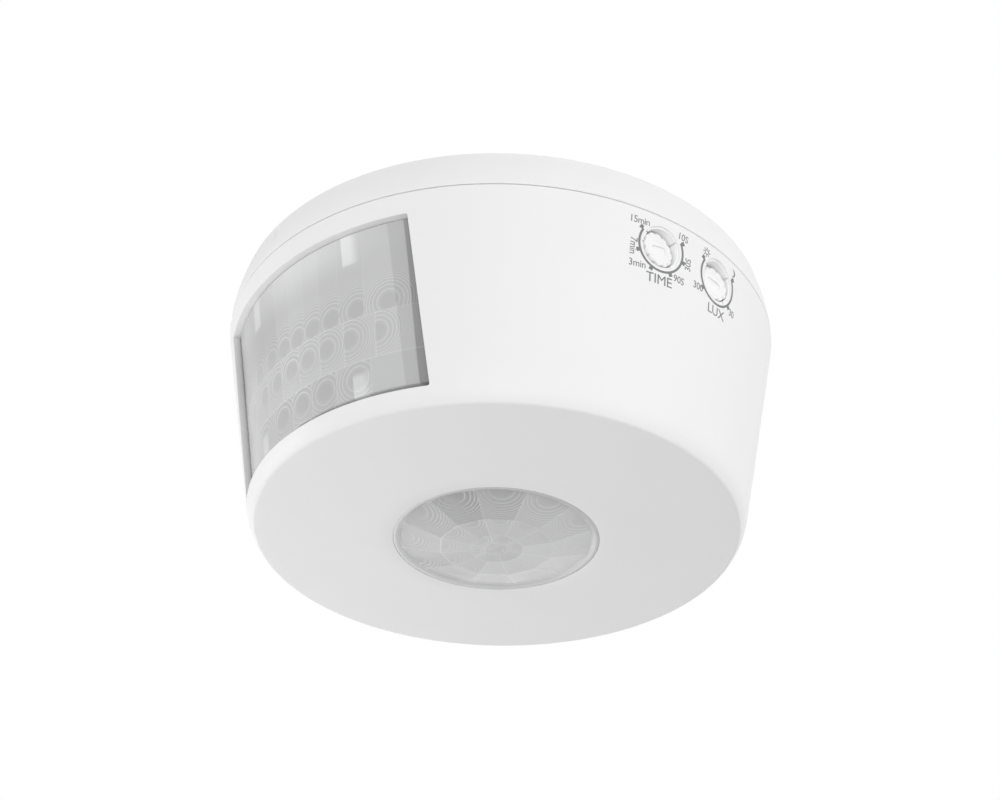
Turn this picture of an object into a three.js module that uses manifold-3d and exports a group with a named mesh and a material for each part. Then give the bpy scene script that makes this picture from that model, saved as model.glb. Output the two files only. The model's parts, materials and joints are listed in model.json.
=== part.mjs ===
// Surface-mounted ceiling motion sensor, as an assembly of separate pieces.
// Millimetres, +Z up. The origin is the middle of the base's ceiling face, so the sensor hangs below z = 0.
// The side window faces -Y and the two setting knobs face +X.

import * as THREE from 'three';
import { mergeVertices } from 'three/addons/utils/BufferGeometryUtils.js';
import Module from 'manifold-3d';

const wasm = await Module();
wasm.setup();

// ---------------------------------------------------------------- driving dimensions

const GAP = 0.3;                  // clearance kept between neighbouring pieces
const ROUND_SIDES = 72;           // sides of the large turned pieces
const SMALL_SIDES = 16;           // sides of small turned pieces

// Outer shape
const WIDEST_RADIUS = 60;         // at the parting line
const CEILING_RADIUS = 58.3;      // base, against the ceiling
const TAPER = 9.92;               // of the head's conical side, degrees
const PARTING_Z = -9.4;           // line between base and head
const BOTTOM_EDGE_Z = -55.4;      // where the bottom meets its rounded edge
const BOTTOM_Z = -56.2;           // slightly crowned bottom, at the lens opening
const FLOOR_Z = -53.8;            // inside the head
const SWEEP_RADIUS = 9.4;         // the side sweeps in to the bottom edge
const SWEEP_END = 35;             // slope where the sweep meets the edge, degrees
const EDGE_RADIUS = 0.8;          // the crisper edge round the bottom
const WALL = 2.2;                 // head shell

// Mounting base
const BASE_PLATE = 2.5;
const BASE_INNER_RADIUS = 56.5;
const SCREW_SLOT_SPACING = 66;
const SCREW_SLOT_LENGTH = 12;
const SCREW_SLOT_WIDTH = 4.6;
const CABLE_HOLE_RADIUS = 8;
const CABLE_HOLE_Y = 12;
const MARK_ANGLE = -95;           // locking mark on the base's rim, degrees from +X
const MARK_WIDTH = 0.9;
const MARK_DEPTH = 0.5;

// Bayonet
const BAYONET_ANGLES = [30, 150, 270];
const BAYONET_HALF_ANGLE = 8;
const SPIGOT_RADIUS = 55;
const SPIGOT_WALL = 2;
const SPIGOT_TOP = -3.6;

// Side window and lens, cut straight along Y
const WINDOW_HALF_WIDTH = 29.3;
const WINDOW_TOP = -14.1;
const WINDOW_BOTTOM = -51.6;
const PANE_HALF_WIDTH = 27.4;
const PANE_TOP = -14.5;
const PANE_BOTTOM = -50;
const PANE_INSET = 1.5;           // behind the head's outer surface
const PANE_BACK = 2.9;
const FLANGE_FRONT = 2.5;
const FLANGE_BACK = 3.5;
const FLANGE_HALF_WIDTH = 32.5;
const FLANGE_TOP = -12.4;
const FLANGE_BOTTOM = -52.3;
const FINGER_X = 15.2;            // four fingers of the retainer press on the pane
const FINGER_WIDTH = 2.8;
const FINGER_REACH = 3.2;

// Bottom lens
const APERTURE_RADIUS = 21.95;
const DOME_RADIUS = 21.65;
const DOME_LOW = -58.4;
const DOME_BREAK = { radius: 12, z: -57.95 };    // where the outer facets start
const DOME_VALLEY = { radius: 20, z: -55.7 };    // shallow groove inside the rim
const DOME_LIP = { radius: 21.3, z: -56.3 };     // top of the rim
const LENS_THICKNESS = 1.1;
const LENS_FLANGE_RADIUS = 25;

// Setting knobs, facing +X
const KNOB_Z = -16.2;
const TIME_KNOB_Y = -8.9;
const LUX_KNOB_Y = 7.3;
const KNOB_HOLE_RADIUS = 4.55;
const KNOB_RADIUS = 3.85;
const KNOB_LOBES = 12;
const KNOB_LOBE_DEPTH = 0.16;
const KNOB_FACE_X = 57.3;
const KNOB_THICKNESS = 2.4;
const KNOB_SHAFT_RADIUS = 1.6;
const KNOB_SLOT = { length: 4.4, width: 1, depth: 0.8 };
const TIME_SLOT_ANGLE = -10;
const LUX_SLOT_ANGLE = -22;
const TRIMMER_FRONT_X = 51.2;
const TRIMMER_SIZE = { x: 5, y: 6.8, z: 6.6 };

// Inside
const CHASSIS_TOP = -10;
const CHASSIS_BOTTOM = -12;
const CHASSIS_RADIUS = 52.6;
const CHASSIS_SCREW_RADIUS = 49;
const CHASSIS_SCREW_ANGLES = [60, 180, 322];
const BOARD_TOP = -19.8;
const BOARD_BOTTOM = -21.4;
const BOARD_RADIUS = 50;
const BOARD_SCREW_RADIUS = 42;
const BOARD_SCREW_ANGLES = [100, 215, 335];
const SCREW = { head: 2.8, headHeight: 1.8, shank: 1.35, length: 9.5 };
const BOSS_RADIUS = 3.2;
const BOSS_HOLE = SCREW.shank + GAP;
const UNDER_BOARD = BOARD_BOTTOM - GAP;
const TERMINAL_Y = 28;
const TERMINAL_PITCH = 5;
const TERMINAL_SIZE = { x: 15.6, y: 10, z: 9 };
const SIDE_BOARD_FRONT_Y = -19.8;
const SIDE_SENSOR_Z = -33;
const CAN = { flange: 4.6, radius: 4.1, flangeHeight: 0.6, height: 4.2 };

// ---------------------------------------------------------------- geometry helpers

const radians = THREE.MathUtils.degToRad;
const taper = radians(TAPER);

// A closed geometry as a solid, with its faces pointing out.
function toSolid(geometry) {
  const bare = geometry.index ? geometry.toNonIndexed() : geometry.clone();
  bare.deleteAttribute('normal');
  bare.deleteAttribute('uv');
  const merged = mergeVertices(bare, 1e-4);
  const place = merged.getAttribute('position').array;
  const corners = [];
  let volume = 0;
  for (let i = 0; i < merged.index.count; i += 3) {
    const [a, b, c] = [0, 1, 2].map((k) => merged.index.getX(i + k));
    if (a === b || b === c || c === a) {
      continue;
    }
    corners.push(a, b, c);
    const [p, q, r] = [a, b, c].map((k) => new THREE.Vector3().fromArray(place, 3 * k));
    volume += p.dot(q.cross(r));
  }
  if (volume < 0) {
    corners.reverse();
  }
  return new wasm.Manifold(new wasm.Mesh({
    numProp: 3,
    vertProperties: new Float32Array(place),
    triVerts: new Uint32Array(corners),
  }));
}

function toGeometry(solid) {
  const mesh = solid.getMesh();
  const geometry = new THREE.BufferGeometry();
  geometry.setAttribute('position', new THREE.BufferAttribute(mesh.vertProperties, 3));
  geometry.setIndex(new THREE.BufferAttribute(mesh.triVerts, 1));
  geometry.computeVertexNormals();
  return geometry;
}

function join(solids) {
  return solids.reduce((whole, solid) => whole.add(solid));
}

function cut(solid, tools) {
  return tools.reduce((rest, tool) => rest.subtract(tool), solid);
}

// A box between two corners.
function block(x0, x1, y0, y1, z0, z1) {
  const geometry = new THREE.BoxGeometry(x1 - x0, y1 - y0, z1 - z0);
  return toSolid(geometry.translate((x0 + x1) / 2, (y0 + y1) / 2, (z0 + z1) / 2));
}

// A profile of [radius, z] points turned about Z. It closes on itself, or starts and ends on the axis.
function turned(profile, sides = SMALL_SIDES) {
  const points = profile.map(([radius, z]) => new THREE.Vector2(radius, z));
  if (profile[0][0] > 0) {
    points.push(points[0].clone());
  }
  return toSolid(new THREE.LatheGeometry(points, sides).rotateX(Math.PI / 2));
}

function rod(radius, z0, z1, x = 0, y = 0, sides = SMALL_SIDES) {
  const geometry = new THREE.CylinderGeometry(radius, radius, z1 - z0, sides).rotateX(Math.PI / 2);
  return toSolid(geometry.translate(x, y, (z0 + z1) / 2));
}

function rodAlongX(radius, x0, x1, y, z, sides = SMALL_SIDES) {
  const geometry = new THREE.CylinderGeometry(radius, radius, x1 - x0, sides).rotateZ(Math.PI / 2);
  return toSolid(geometry.translate((x0 + x1) / 2, y, z));
}

// A block of a ring, between two radii, two heights and two angles in degrees.
function ringBlock(inner, outer, z0, z1, from, to) {
  const shape = new THREE.Shape();
  shape.absarc(0, 0, outer, radians(from), radians(to), false);
  shape.absarc(0, 0, inner, radians(to), radians(from), true);
  const settings = { depth: z1 - z0, bevelEnabled: false, curveSegments: 6 };
  return toSolid(new THREE.ExtrudeGeometry(shape, settings).translate(0, 0, z0));
}

function polar(radius, angle) {
  return [radius * Math.cos(radians(angle)), radius * Math.sin(radians(angle))];
}

// Radius of the head's surface at a height, moved in by a depth measured square to the surface.
function coneRadius(z, depth = 0) {
  return WIDEST_RADIUS - (PARTING_Z - z) * Math.tan(taper) - depth / Math.cos(taper);
}

// The side's sweep in to the bottom, moved in by a depth, down to a height.
function sideSweep(depth, low, steps) {
  const reach = SWEEP_RADIUS - EDGE_RADIUS;
  const centreZ = BOTTOM_EDGE_Z + EDGE_RADIUS + reach * Math.sin(radians(SWEEP_END));
  const centreRadius = coneRadius(centreZ, SWEEP_RADIUS);
  const radius = SWEEP_RADIUS - depth;
  const end = Math.asin((centreZ - low) / radius);
  const points = [];
  for (let i = 0; i <= steps; i += 1) {
    const angle = taper + (i / steps) * (end - taper);
    points.push([centreRadius + radius * Math.cos(angle), centreZ - radius * Math.sin(angle)]);
  }
  return points;
}

// The sweep and the edge round the bottom of the head.
function bottomCorner() {
  const centreZ = BOTTOM_EDGE_Z + EDGE_RADIUS;
  const sweep = sideSweep(0, centreZ - EDGE_RADIUS * Math.sin(radians(SWEEP_END)), 4);
  const [radius] = sweep[sweep.length - 1];
  const centreRadius = radius - EDGE_RADIUS * Math.cos(radians(SWEEP_END));
  const edge = [60, 90].map((degrees) => [
    centreRadius + EDGE_RADIUS * Math.cos(radians(degrees)),
    centreZ - EDGE_RADIUS * Math.sin(radians(degrees)),
  ]);
  return [...sweep, ...edge];
}

// The front part of a conical shell, between two depths, trimmed to a straight-sided frame.
function frontShell(front, back, halfWidth, top, bottom) {
  const ring = turned([
    [coneRadius(top, front), top],
    [coneRadius(bottom, front), bottom],
    [coneRadius(bottom, back), bottom],
    [coneRadius(top, back), top],
  ], ROUND_SIDES);
  return ring.intersect(block(-halfWidth, halfWidth, -WIDEST_RADIUS, -30, bottom, top));
}

// ---------------------------------------------------------------- mounting base

function mountingBase() {
  const bottom = PARTING_Z + GAP / 2;
  const flare = [];
  const flareSteps = 4;
  for (let i = 0; i <= flareSteps; i += 1) {
    const turn = (i / flareSteps) * (Math.PI / 2);
    const radius = CEILING_RADIUS + (WIDEST_RADIUS - CEILING_RADIUS) * Math.sin(turn);
    flare.push([radius, bottom * (i / flareSteps)]);
  }
  const dish = turned([
    [0, 0],
    ...flare,
    [BASE_INNER_RADIUS, bottom],
    [BASE_INNER_RADIUS, -BASE_PLATE],
    [0, -BASE_PLATE],
  ], ROUND_SIDES);
  const hooks = BAYONET_ANGLES.flatMap((angle) => [
    ringBlock(SPIGOT_RADIUS + GAP, BASE_INNER_RADIUS + 1, -8.9, -7.4,
      angle - BAYONET_HALF_ANGLE, angle + BAYONET_HALF_ANGLE),
    ringBlock(SPIGOT_RADIUS + GAP, BASE_INNER_RADIUS + 1, -8.9, -BASE_PLATE + 0.5,
      angle + BAYONET_HALF_ANGLE + 0.5, angle + BAYONET_HALF_ANGLE + 2.5),
  ]);
  const pads = [-1, 1].map((side) => {
    const x = side * SCREW_SLOT_SPACING / 2;
    return block(x - 5, x + 5, -9, 9, -BASE_PLATE - 1, -BASE_PLATE + 0.5);
  });
  const slots = [-1, 1].map((side) => screwSlot(side * SCREW_SLOT_SPACING / 2));
  const mark = block(-MARK_WIDTH / 2, MARK_WIDTH / 2, -MARK_DEPTH, 2, -6.1, -1.7)
    .rotate([0, 0, MARK_ANGLE - 90])
    .translate([...polar(markRadius(), MARK_ANGLE), 0]);
  return cut(join([dish, ...hooks, ...pads]), [
    ...slots,
    rod(CABLE_HOLE_RADIUS, -BASE_PLATE - 1, 1, 0, CABLE_HOLE_Y, 24),
    mark,
  ]);
}

// Radius of the base's rim at the middle of the locking mark.
function markRadius() {
  return CEILING_RADIUS + (WIDEST_RADIUS - CEILING_RADIUS) * 0.6;
}

// A slot for a ceiling screw, with round ends, along Y.
function screwSlot(x) {
  const half = (SCREW_SLOT_LENGTH - SCREW_SLOT_WIDTH) / 2;
  const radius = SCREW_SLOT_WIDTH / 2;
  const shape = new THREE.Shape();
  shape.absarc(x, half, radius, 0, Math.PI, false);
  shape.absarc(x, -half, radius, Math.PI, 2 * Math.PI, false);
  const depth = BASE_PLATE + 3;
  const settings = { depth, bevelEnabled: false, curveSegments: 10 };
  return toSolid(new THREE.ExtrudeGeometry(shape, settings).translate(0, 0, 1 - depth));
}

// A rubber grommet, seated in the base plate and flanged below it.
function cableGrommet() {
  const body = CABLE_HOLE_RADIUS - GAP;
  const underPlate = -BASE_PLATE - GAP;
  return turned([
    [5, -0.4],
    [body, -0.4],
    [body, underPlate],
    [body + 2, underPlate],
    [body + 2, underPlate - 1.4],
    [body, underPlate - 2],
    [5, underPlate - 2],
  ], 24);
}

// ---------------------------------------------------------------- head shell

function housingCover() {
  const shoulder = PARTING_Z - GAP / 2;
  const spigotInner = SPIGOT_RADIUS - SPIGOT_WALL;
  const underShoulder = shoulder - WALL;
  const shell = turned([
    [spigotInner, SPIGOT_TOP],
    [SPIGOT_RADIUS, SPIGOT_TOP],
    [SPIGOT_RADIUS, shoulder],
    [WIDEST_RADIUS - 0.4, shoulder],
    [coneRadius(shoulder - 0.4), shoulder - 0.4],
    ...bottomCorner(),
    [APERTURE_RADIUS, BOTTOM_Z],
    [APERTURE_RADIUS, FLOOR_Z],
    ...sideSweep(WALL, FLOOR_Z, 3).reverse(),
    [coneRadius(underShoulder, WALL), underShoulder],
    [spigotInner, underShoulder],
  ], ROUND_SIDES);
  const lugs = BAYONET_ANGLES.map((angle) => ringBlock(SPIGOT_RADIUS - 0.5, SPIGOT_RADIUS + 1.2,
    -7, -4.4, angle - BAYONET_HALF_ANGLE + 0.5, angle + BAYONET_HALF_ANGLE - 0.5));
  const window = block(-WINDOW_HALF_WIDTH, WINDOW_HALF_WIDTH, -WIDEST_RADIUS - 5, -35,
    WINDOW_BOTTOM, WINDOW_TOP);
  const knobHoles = [TIME_KNOB_Y, LUX_KNOB_Y].map((y) => (
    rodAlongX(KNOB_HOLE_RADIUS, 50, 65, y, KNOB_Z, 24)));
  const outside = cut(shell.add(join(lugs)), [window, ...knobHoles]);
  return outside.add(coverPosts());
}

// Screw posts and the ring that locates the bottom lens, standing on the head's floor.
function coverPosts() {
  const posts = [];
  const holes = [];
  for (const [radius, angles, top] of [
    [CHASSIS_SCREW_RADIUS, CHASSIS_SCREW_ANGLES, CHASSIS_BOTTOM - GAP],
    [BOARD_SCREW_RADIUS, BOARD_SCREW_ANGLES, UNDER_BOARD],
  ]) {
    for (const angle of angles) {
      const [x, y] = polar(radius, angle);
      posts.push(rod(BOSS_RADIUS, FLOOR_Z - 0.5, top, x, y, 16));
      holes.push(rod(BOSS_HOLE, top - SCREW.length, top + 1, x, y, 12));
    }
  }
  const ring = turned([[28.4, -50.2], [30, -50.2], [30, FLOOR_Z - 0.5], [28.4, FLOOR_Z - 0.5]], 48);
  const within = turned([
    [0, -11],
    [coneRadius(-11, 1), -11],
    [coneRadius(FLOOR_Z - 0.5, 3), FLOOR_Z - 0.5],
    [0, FLOOR_Z - 0.5],
  ], ROUND_SIDES);
  return cut(join([...posts, ring]).intersect(within), holes);
}

function sideLens() {
  const pane = frontShell(PANE_INSET, PANE_BACK, PANE_HALF_WIDTH, PANE_TOP, PANE_BOTTOM);
  const flange = frontShell(FLANGE_FRONT, FLANGE_BACK, FLANGE_HALF_WIDTH, FLANGE_TOP, FLANGE_BOTTOM);
  const opening = block(-25.8, 25.8, -WIDEST_RADIUS, -30, PANE_BOTTOM + 1.4, PANE_TOP - 1.3);
  return flange.subtract(opening).add(pane);
}

// A frame behind the lens flange, with four fingers that reach the pane's back.
function sideLensRetainer() {
  const front = FLANGE_BACK + GAP;
  const back = front + 1.4;
  const top = FLANGE_TOP - 0.2;
  const bottom = FLANGE_BOTTOM + 0.3;
  const frame = frontShell(front, back, FLANGE_HALF_WIDTH - 0.5, top, bottom)
    .subtract(block(-25, 25, -WIDEST_RADIUS, -30, -48, -18));
  const fingerPlate = frontShell(FINGER_REACH, back, FINGER_X + FINGER_WIDTH / 2, -17.3, -48.3);
  const fingers = [];
  for (const side of [-1, 1]) {
    for (const [z0, z1] of [[-20.8, -17], [-48.6, -45.2]]) {
      const x = side * FINGER_X;
      fingers.push(block(x - FINGER_WIDTH / 2, x + FINGER_WIDTH / 2, -WIDEST_RADIUS, -30, z0, z1));
    }
  }
  return frame.add(fingerPlate.intersect(join(fingers)));
}

// A shallow faceted dome inside a raised lip, a straight rim through the cover and a flange above the floor.
function bottomLens() {
  const flangeLow = FLOOR_Z + GAP;
  const flangeHigh = flangeLow + 1.2;
  const { radius: breakRadius, z: breakZ } = DOME_BREAK;
  const { radius: valleyRadius, z: valleyZ } = DOME_VALLEY;
  return turned([
    [0, DOME_LOW],
    [breakRadius / 2, (2 * DOME_LOW + breakZ) / 3],
    [breakRadius, breakZ],
    [valleyRadius, valleyZ],
    [DOME_LIP.radius, DOME_LIP.z],
    [DOME_RADIUS, DOME_LIP.z + 0.3],
    [DOME_RADIUS, flangeLow],
    [LENS_FLANGE_RADIUS, flangeLow],
    [LENS_FLANGE_RADIUS, flangeHigh],
    [DOME_RADIUS - LENS_THICKNESS - 0.4, flangeHigh],
    [valleyRadius - 0.4, valleyZ + LENS_THICKNESS],
    [breakRadius - 0.2, breakZ + LENS_THICKNESS],
    [0, DOME_LOW + LENS_THICKNESS],
  ], 48);
}

function bottomLensRetainer() {
  const low = FLOOR_Z + 2 * GAP + 1.2;
  const ring = turned([[20.5, low], [28, low], [28, low + 1.4], [20.5, low + 1.4]], 48);
  const notches = [0, 120, 240].map((angle) => {
    const [x, y] = polar(28, angle);
    return rod(1.6, low - 1, low + 3, x, y, 12);
  });
  return cut(ring, notches);
}

// ---------------------------------------------------------------- rear chassis and boards

function rearChassis() {
  const plate = rod(CHASSIS_RADIUS, CHASSIS_BOTTOM, CHASSIS_TOP, 0, 0, ROUND_SIDES);
  const halfX = TERMINAL_SIZE.x / 2 + 2;
  const halfY = TERMINAL_SIZE.y / 2 + 2;
  const wall = block(-halfX - 1.5, halfX + 1.5, TERMINAL_Y - halfY - 1.5, TERMINAL_Y + halfY + 1.5,
    CHASSIS_BOTTOM + 0.5, -7);
  const opening = block(-halfX, halfX, TERMINAL_Y - halfY, TERMINAL_Y + halfY, -14, -5);
  const wireGap = block(-halfX + 3, halfX - 3, TERMINAL_Y - halfY - 3, TERMINAL_Y, CHASSIS_TOP, -5);
  const holes = CHASSIS_SCREW_ANGLES.map((angle) => {
    const [x, y] = polar(CHASSIS_SCREW_RADIUS, angle);
    return rod(BOSS_HOLE, -14, -5, x, y, 12);
  });
  return cut(plate.add(wall), [opening, wireGap, ...holes]);
}

function mainBoard() {
  const plate = rod(BOARD_RADIUS, BOARD_BOTTOM, BOARD_TOP, 0, 0, 48);
  const notches = CHASSIS_SCREW_ANGLES.map((angle) => {
    const [x, y] = polar(CHASSIS_SCREW_RADIUS, angle);
    return rod(BOSS_RADIUS + 0.6, BOARD_BOTTOM - 1, BOARD_TOP + 1, x, y, 16);
  });
  const holes = BOARD_SCREW_ANGLES.map((angle) => {
    const [x, y] = polar(BOARD_SCREW_RADIUS, angle);
    return rod(BOSS_HOLE, BOARD_BOTTOM - 1, BOARD_TOP + 1, x, y, 12);
  });
  return cut(plate, [...notches, ...holes]);
}

// A pan-head screw, with the underside of its head at z = 0 and a cross recess.
function screw() {
  const body = turned([
    [0, SCREW.headHeight],
    [SCREW.head * 0.7, SCREW.headHeight],
    [SCREW.head, SCREW.headHeight * 0.4],
    [SCREW.head, 0],
    [SCREW.shank, 0],
    [SCREW.shank, -SCREW.length + 1.5],
    [0, -SCREW.length + GAP],
  ], 12);
  return cut(body, [0, 90].map((angle) => (
    block(-1.5, 1.5, -0.3, 0.3, SCREW.headHeight - 0.9, SCREW.headHeight + 1).rotate([0, 0, angle]))));
}

// ---------------------------------------------------------------- setting knobs

// A scalloped knob that faces +X, its axis on x, with its slot turned to an angle seen from outside.
function knob(slotAngle) {
  const shape = new THREE.Shape();
  const points = 4 * KNOB_LOBES;
  for (let i = 0; i < points; i += 1) {
    const angle = (i / points) * 2 * Math.PI;
    const radius = KNOB_RADIUS + KNOB_LOBE_DEPTH * Math.cos(KNOB_LOBES * angle);
    const [x, y] = [radius * Math.cos(angle), radius * Math.sin(angle)];
    if (i === 0) {
      shape.moveTo(x, y);
    } else {
      shape.lineTo(x, y);
    }
  }
  const settings = { depth: KNOB_THICKNESS, bevelEnabled: false };
  const disc = toSolid(new THREE.ExtrudeGeometry(shape, settings).translate(0, 0, -KNOB_THICKNESS));
  const shaftEnd = TRIMMER_FRONT_X - KNOB_FACE_X - 2.4;
  const shaft = rod(KNOB_SHAFT_RADIUS, shaftEnd, -KNOB_THICKNESS + 0.2, 0, 0, 16);
  const { length, width, depth } = KNOB_SLOT;
  const slot = block(-length / 2, length / 2, -width / 2, width / 2, -depth, 1);
  return disc.add(shaft).subtract(slot.rotate([0, 0, slotAngle]));
}

// The knob's own axes turned so that its face looks along +X and its drawing's x runs along +Y.
const FACING_X = new THREE.Euler().setFromRotationMatrix(new THREE.Matrix4().makeBasis(
  new THREE.Vector3(0, 1, 0),
  new THREE.Vector3(0, 0, 1),
  new THREE.Vector3(1, 0, 0),
));

// A trimmer resistor with a round well for the knob's shaft, its front at x = 0.
function trimmer() {
  const { x, y, z } = TRIMMER_SIZE;
  const body = block(-x, 0, -y / 2, y / 2, -z / 2, z / 2);
  return body.subtract(rodAlongX(KNOB_SHAFT_RADIUS + GAP, -2.7, 1, 0, 0, 16));
}

// ---------------------------------------------------------------- sensors and electronics

// A sensor can with its window opening, looking along +Z from its flange at z = 0.
function sensorCan() {
  const { flange, radius, flangeHeight, height } = CAN;
  const can = turned([
    [0, 0],
    [flange, 0],
    [flange, flangeHeight],
    [radius, flangeHeight],
    [radius, height - 0.3],
    [radius - 0.3, height],
    [0, height],
  ], 24);
  return can.subtract(block(-2.1, 2.1, -1.7, 1.7, height - 0.7, height + 1));
}

// The dark filter glass in the can's window, its back at z = 0.
function sensorWindow() {
  return block(-1.85, 1.85, -1.45, 1.45, 0, 0.3);
}

// A capacitor with a rolled edge, standing on z = 0 and hanging down from the board when turned over.
function roundCan(radius, height) {
  return turned([
    [0, 0],
    [radius - 0.3, 0],
    [radius, 0.5],
    [radius, 1.4],
    [radius - 0.35, 1.9],
    [radius, 2.4],
    [radius, height - 0.4],
    [radius - 0.4, height],
    [0, height],
  ], 16);
}

// A block with its upright edges cut off at 45 degrees, standing on z = 0.
function casedBlock(x, y, z, edge) {
  const shape = new THREE.Shape();
  const [halfX, halfY] = [x / 2, y / 2];
  shape.moveTo(-halfX + edge, -halfY);
  for (const [px, py] of [
    [halfX - edge, -halfY], [halfX, -halfY + edge], [halfX, halfY - edge], [halfX - edge, halfY],
    [-halfX + edge, halfY], [-halfX, halfY - edge], [-halfX, -halfY + edge],
  ]) {
    shape.lineTo(px, py);
  }
  return toSolid(new THREE.ExtrudeGeometry(shape, { depth: z, bevelEnabled: false }));
}

// A disc on edge with two short legs, standing on z = 0, its flat faces looking along X.
function discOnEdge(radius, thickness) {
  const disc = rodAlongX(radius, -thickness / 2, thickness / 2, 0, radius + 1.2, 24);
  const legs = [-2.5, 2.5].map((y) => block(-0.4, 0.4, y - 0.4, y + 0.4, 0, radius));
  return join([disc, ...legs]);
}

function drumCore() {
  return turned([
    [0, 0],
    [4, 0],
    [4, 1.4],
    [3, 1.6],
    [3, 8.4],
    [4, 8.6],
    [4, 10],
    [0, 10],
  ]);
}

// A light-dependent resistor or a round-nosed lamp on two legs, standing on z = 0.
function roundNosed(radius, height, rounded) {
  const profile = [[0, 1.5], [radius, 1.5], [radius, height - (rounded ? radius : 0)]];
  if (rounded) {
    profile.push([radius * 0.87, height - radius / 2], [radius / 2, height - radius * 0.13]);
  }
  profile.push([0, height]);
  const legs = [-1, 1].map((x) => block(x - 0.3, x + 0.3, -0.3, 0.3, 0, 1.8));
  return join([turned(profile), ...legs]);
}

// A chip with four pairs of gull-wing legs as small blocks, its body 0.2 off the board at z = 0.
function chip() {
  const body = block(-5, 5, -3, 3, 0.2, 1.9);
  const legs = [];
  for (let i = 0; i < 5; i += 1) {
    const x = -4 + 2 * i;
    legs.push(block(x - 0.3, x + 0.3, -4.2, 4.2, 0, 0.6));
  }
  return join([body, ...legs]);
}

function terminalBlock() {
  const { x, y, z } = TERMINAL_SIZE;
  const body = block(-x / 2, x / 2, -y / 2, y / 2, 0, z);
  const wells = [-1, 0, 1].flatMap((step) => {
    const poleX = step * TERMINAL_PITCH;
    const wire = block(poleX - 1.7, poleX + 1.7, -y / 2 - 1, -y / 2 + 3, 1.5, 4.8);
    return [rod(2.1, z - 3, z + 1, poleX, 0, 16), wire];
  });
  return cut(body, wells);
}

// A slotted terminal screw standing on z = 0.
function terminalScrew() {
  return rod(1.8, 0, 2, 0, 0, 16).subtract(block(-2, 2, -0.3, 0.3, 1.3, 3));
}

function pinHeader() {
  const housing = block(-8, 8, 0, 2.5, -2.6, 0);
  const pins = [];
  for (let i = 0; i < 5; i += 1) {
    pins.push(block(-5.4 + 2.54 * i, -4.8 + 2.54 * i, 0.9, 1.5, -4.6, -2));
  }
  return join([housing, ...pins]);
}

// ---------------------------------------------------------------- assembly

const FINISHES = {
  whitePlastic: [0xf1f2f1, 0.42, 0],
  innerPlastic: [0xe8e8e4, 0.5, 0],
  lensPlastic: [0xd9dcdc, 0.35, 0],
  knobPlastic: [0xe6e9e8, 0.3, 0],
  rubber: [0x2c2d2e, 0.75, 0],
  board: [0x2f6b46, 0.5, 0],
  zincSteel: [0xb9bcc0, 0.35, 1],
  canMetal: [0xc6c7c9, 0.25, 1],
  darkGlass: [0x23252b, 0.15, 0],
  blackPlastic: [0x26272a, 0.45, 0],
  relayPlastic: [0x2d5ea8, 0.4, 0],
  filmPlastic: [0xc98f2c, 0.45, 0],
  sleeve: [0x22304a, 0.35, 0],
  ceramicBlue: [0x2b62a8, 0.4, 0],
  brown: [0x6a3f2a, 0.45, 0],
  terminalPlastic: [0x5f7f5a, 0.5, 0],
  redLamp: [0xb2302a, 0.2, 0],
};

function piece(name, solid, finish, position = [0, 0, 0], rotation = [0, 0, 0]) {
  const [color, roughness, metalness] = FINISHES[finish];
  const material = new THREE.MeshStandardMaterial({ color, roughness, metalness });
  const mesh = new THREE.Mesh(toGeometry(solid), material);
  mesh.name = name;
  mesh.position.set(...position);
  mesh.rotation.set(...rotation);
  return mesh;
}

const UPSIDE_DOWN = [Math.PI, 0, 0];

// A piece that stands on its own z = 0, hung under the main board.
function underBoard(name, solid, finish, x, y) {
  return piece(name, solid, finish, [x, y, UNDER_BOARD], UPSIDE_DOWN);
}

function screwSet(name, radius, angles, z) {
  return angles.map((angle, i) => (
    piece(`${name}_${i + 1}`, screw(), 'zincSteel', [...polar(radius, angle), z])));
}

function baseGroup() {
  const group = new THREE.Group();
  group.add(piece('mounting_base', mountingBase(), 'whitePlastic'));
  group.add(piece('cable_grommet', cableGrommet(), 'rubber', [0, CABLE_HOLE_Y, 0]));
  return group;
}

function shellGroup() {
  const group = new THREE.Group();
  group.add(piece('housing_cover', housingCover(), 'whitePlastic'));
  group.add(piece('side_lens', sideLens(), 'lensPlastic'));
  group.add(piece('side_lens_retainer', sideLensRetainer(), 'innerPlastic'));
  group.add(piece('bottom_lens', bottomLens(), 'lensPlastic'));
  group.add(piece('bottom_lens_retainer', bottomLensRetainer(), 'innerPlastic'));
  group.add(piece('rear_chassis', rearChassis(), 'innerPlastic'));
  group.add(...screwSet('chassis_screw', CHASSIS_SCREW_RADIUS, CHASSIS_SCREW_ANGLES, CHASSIS_TOP + GAP));
  return group;
}

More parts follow.
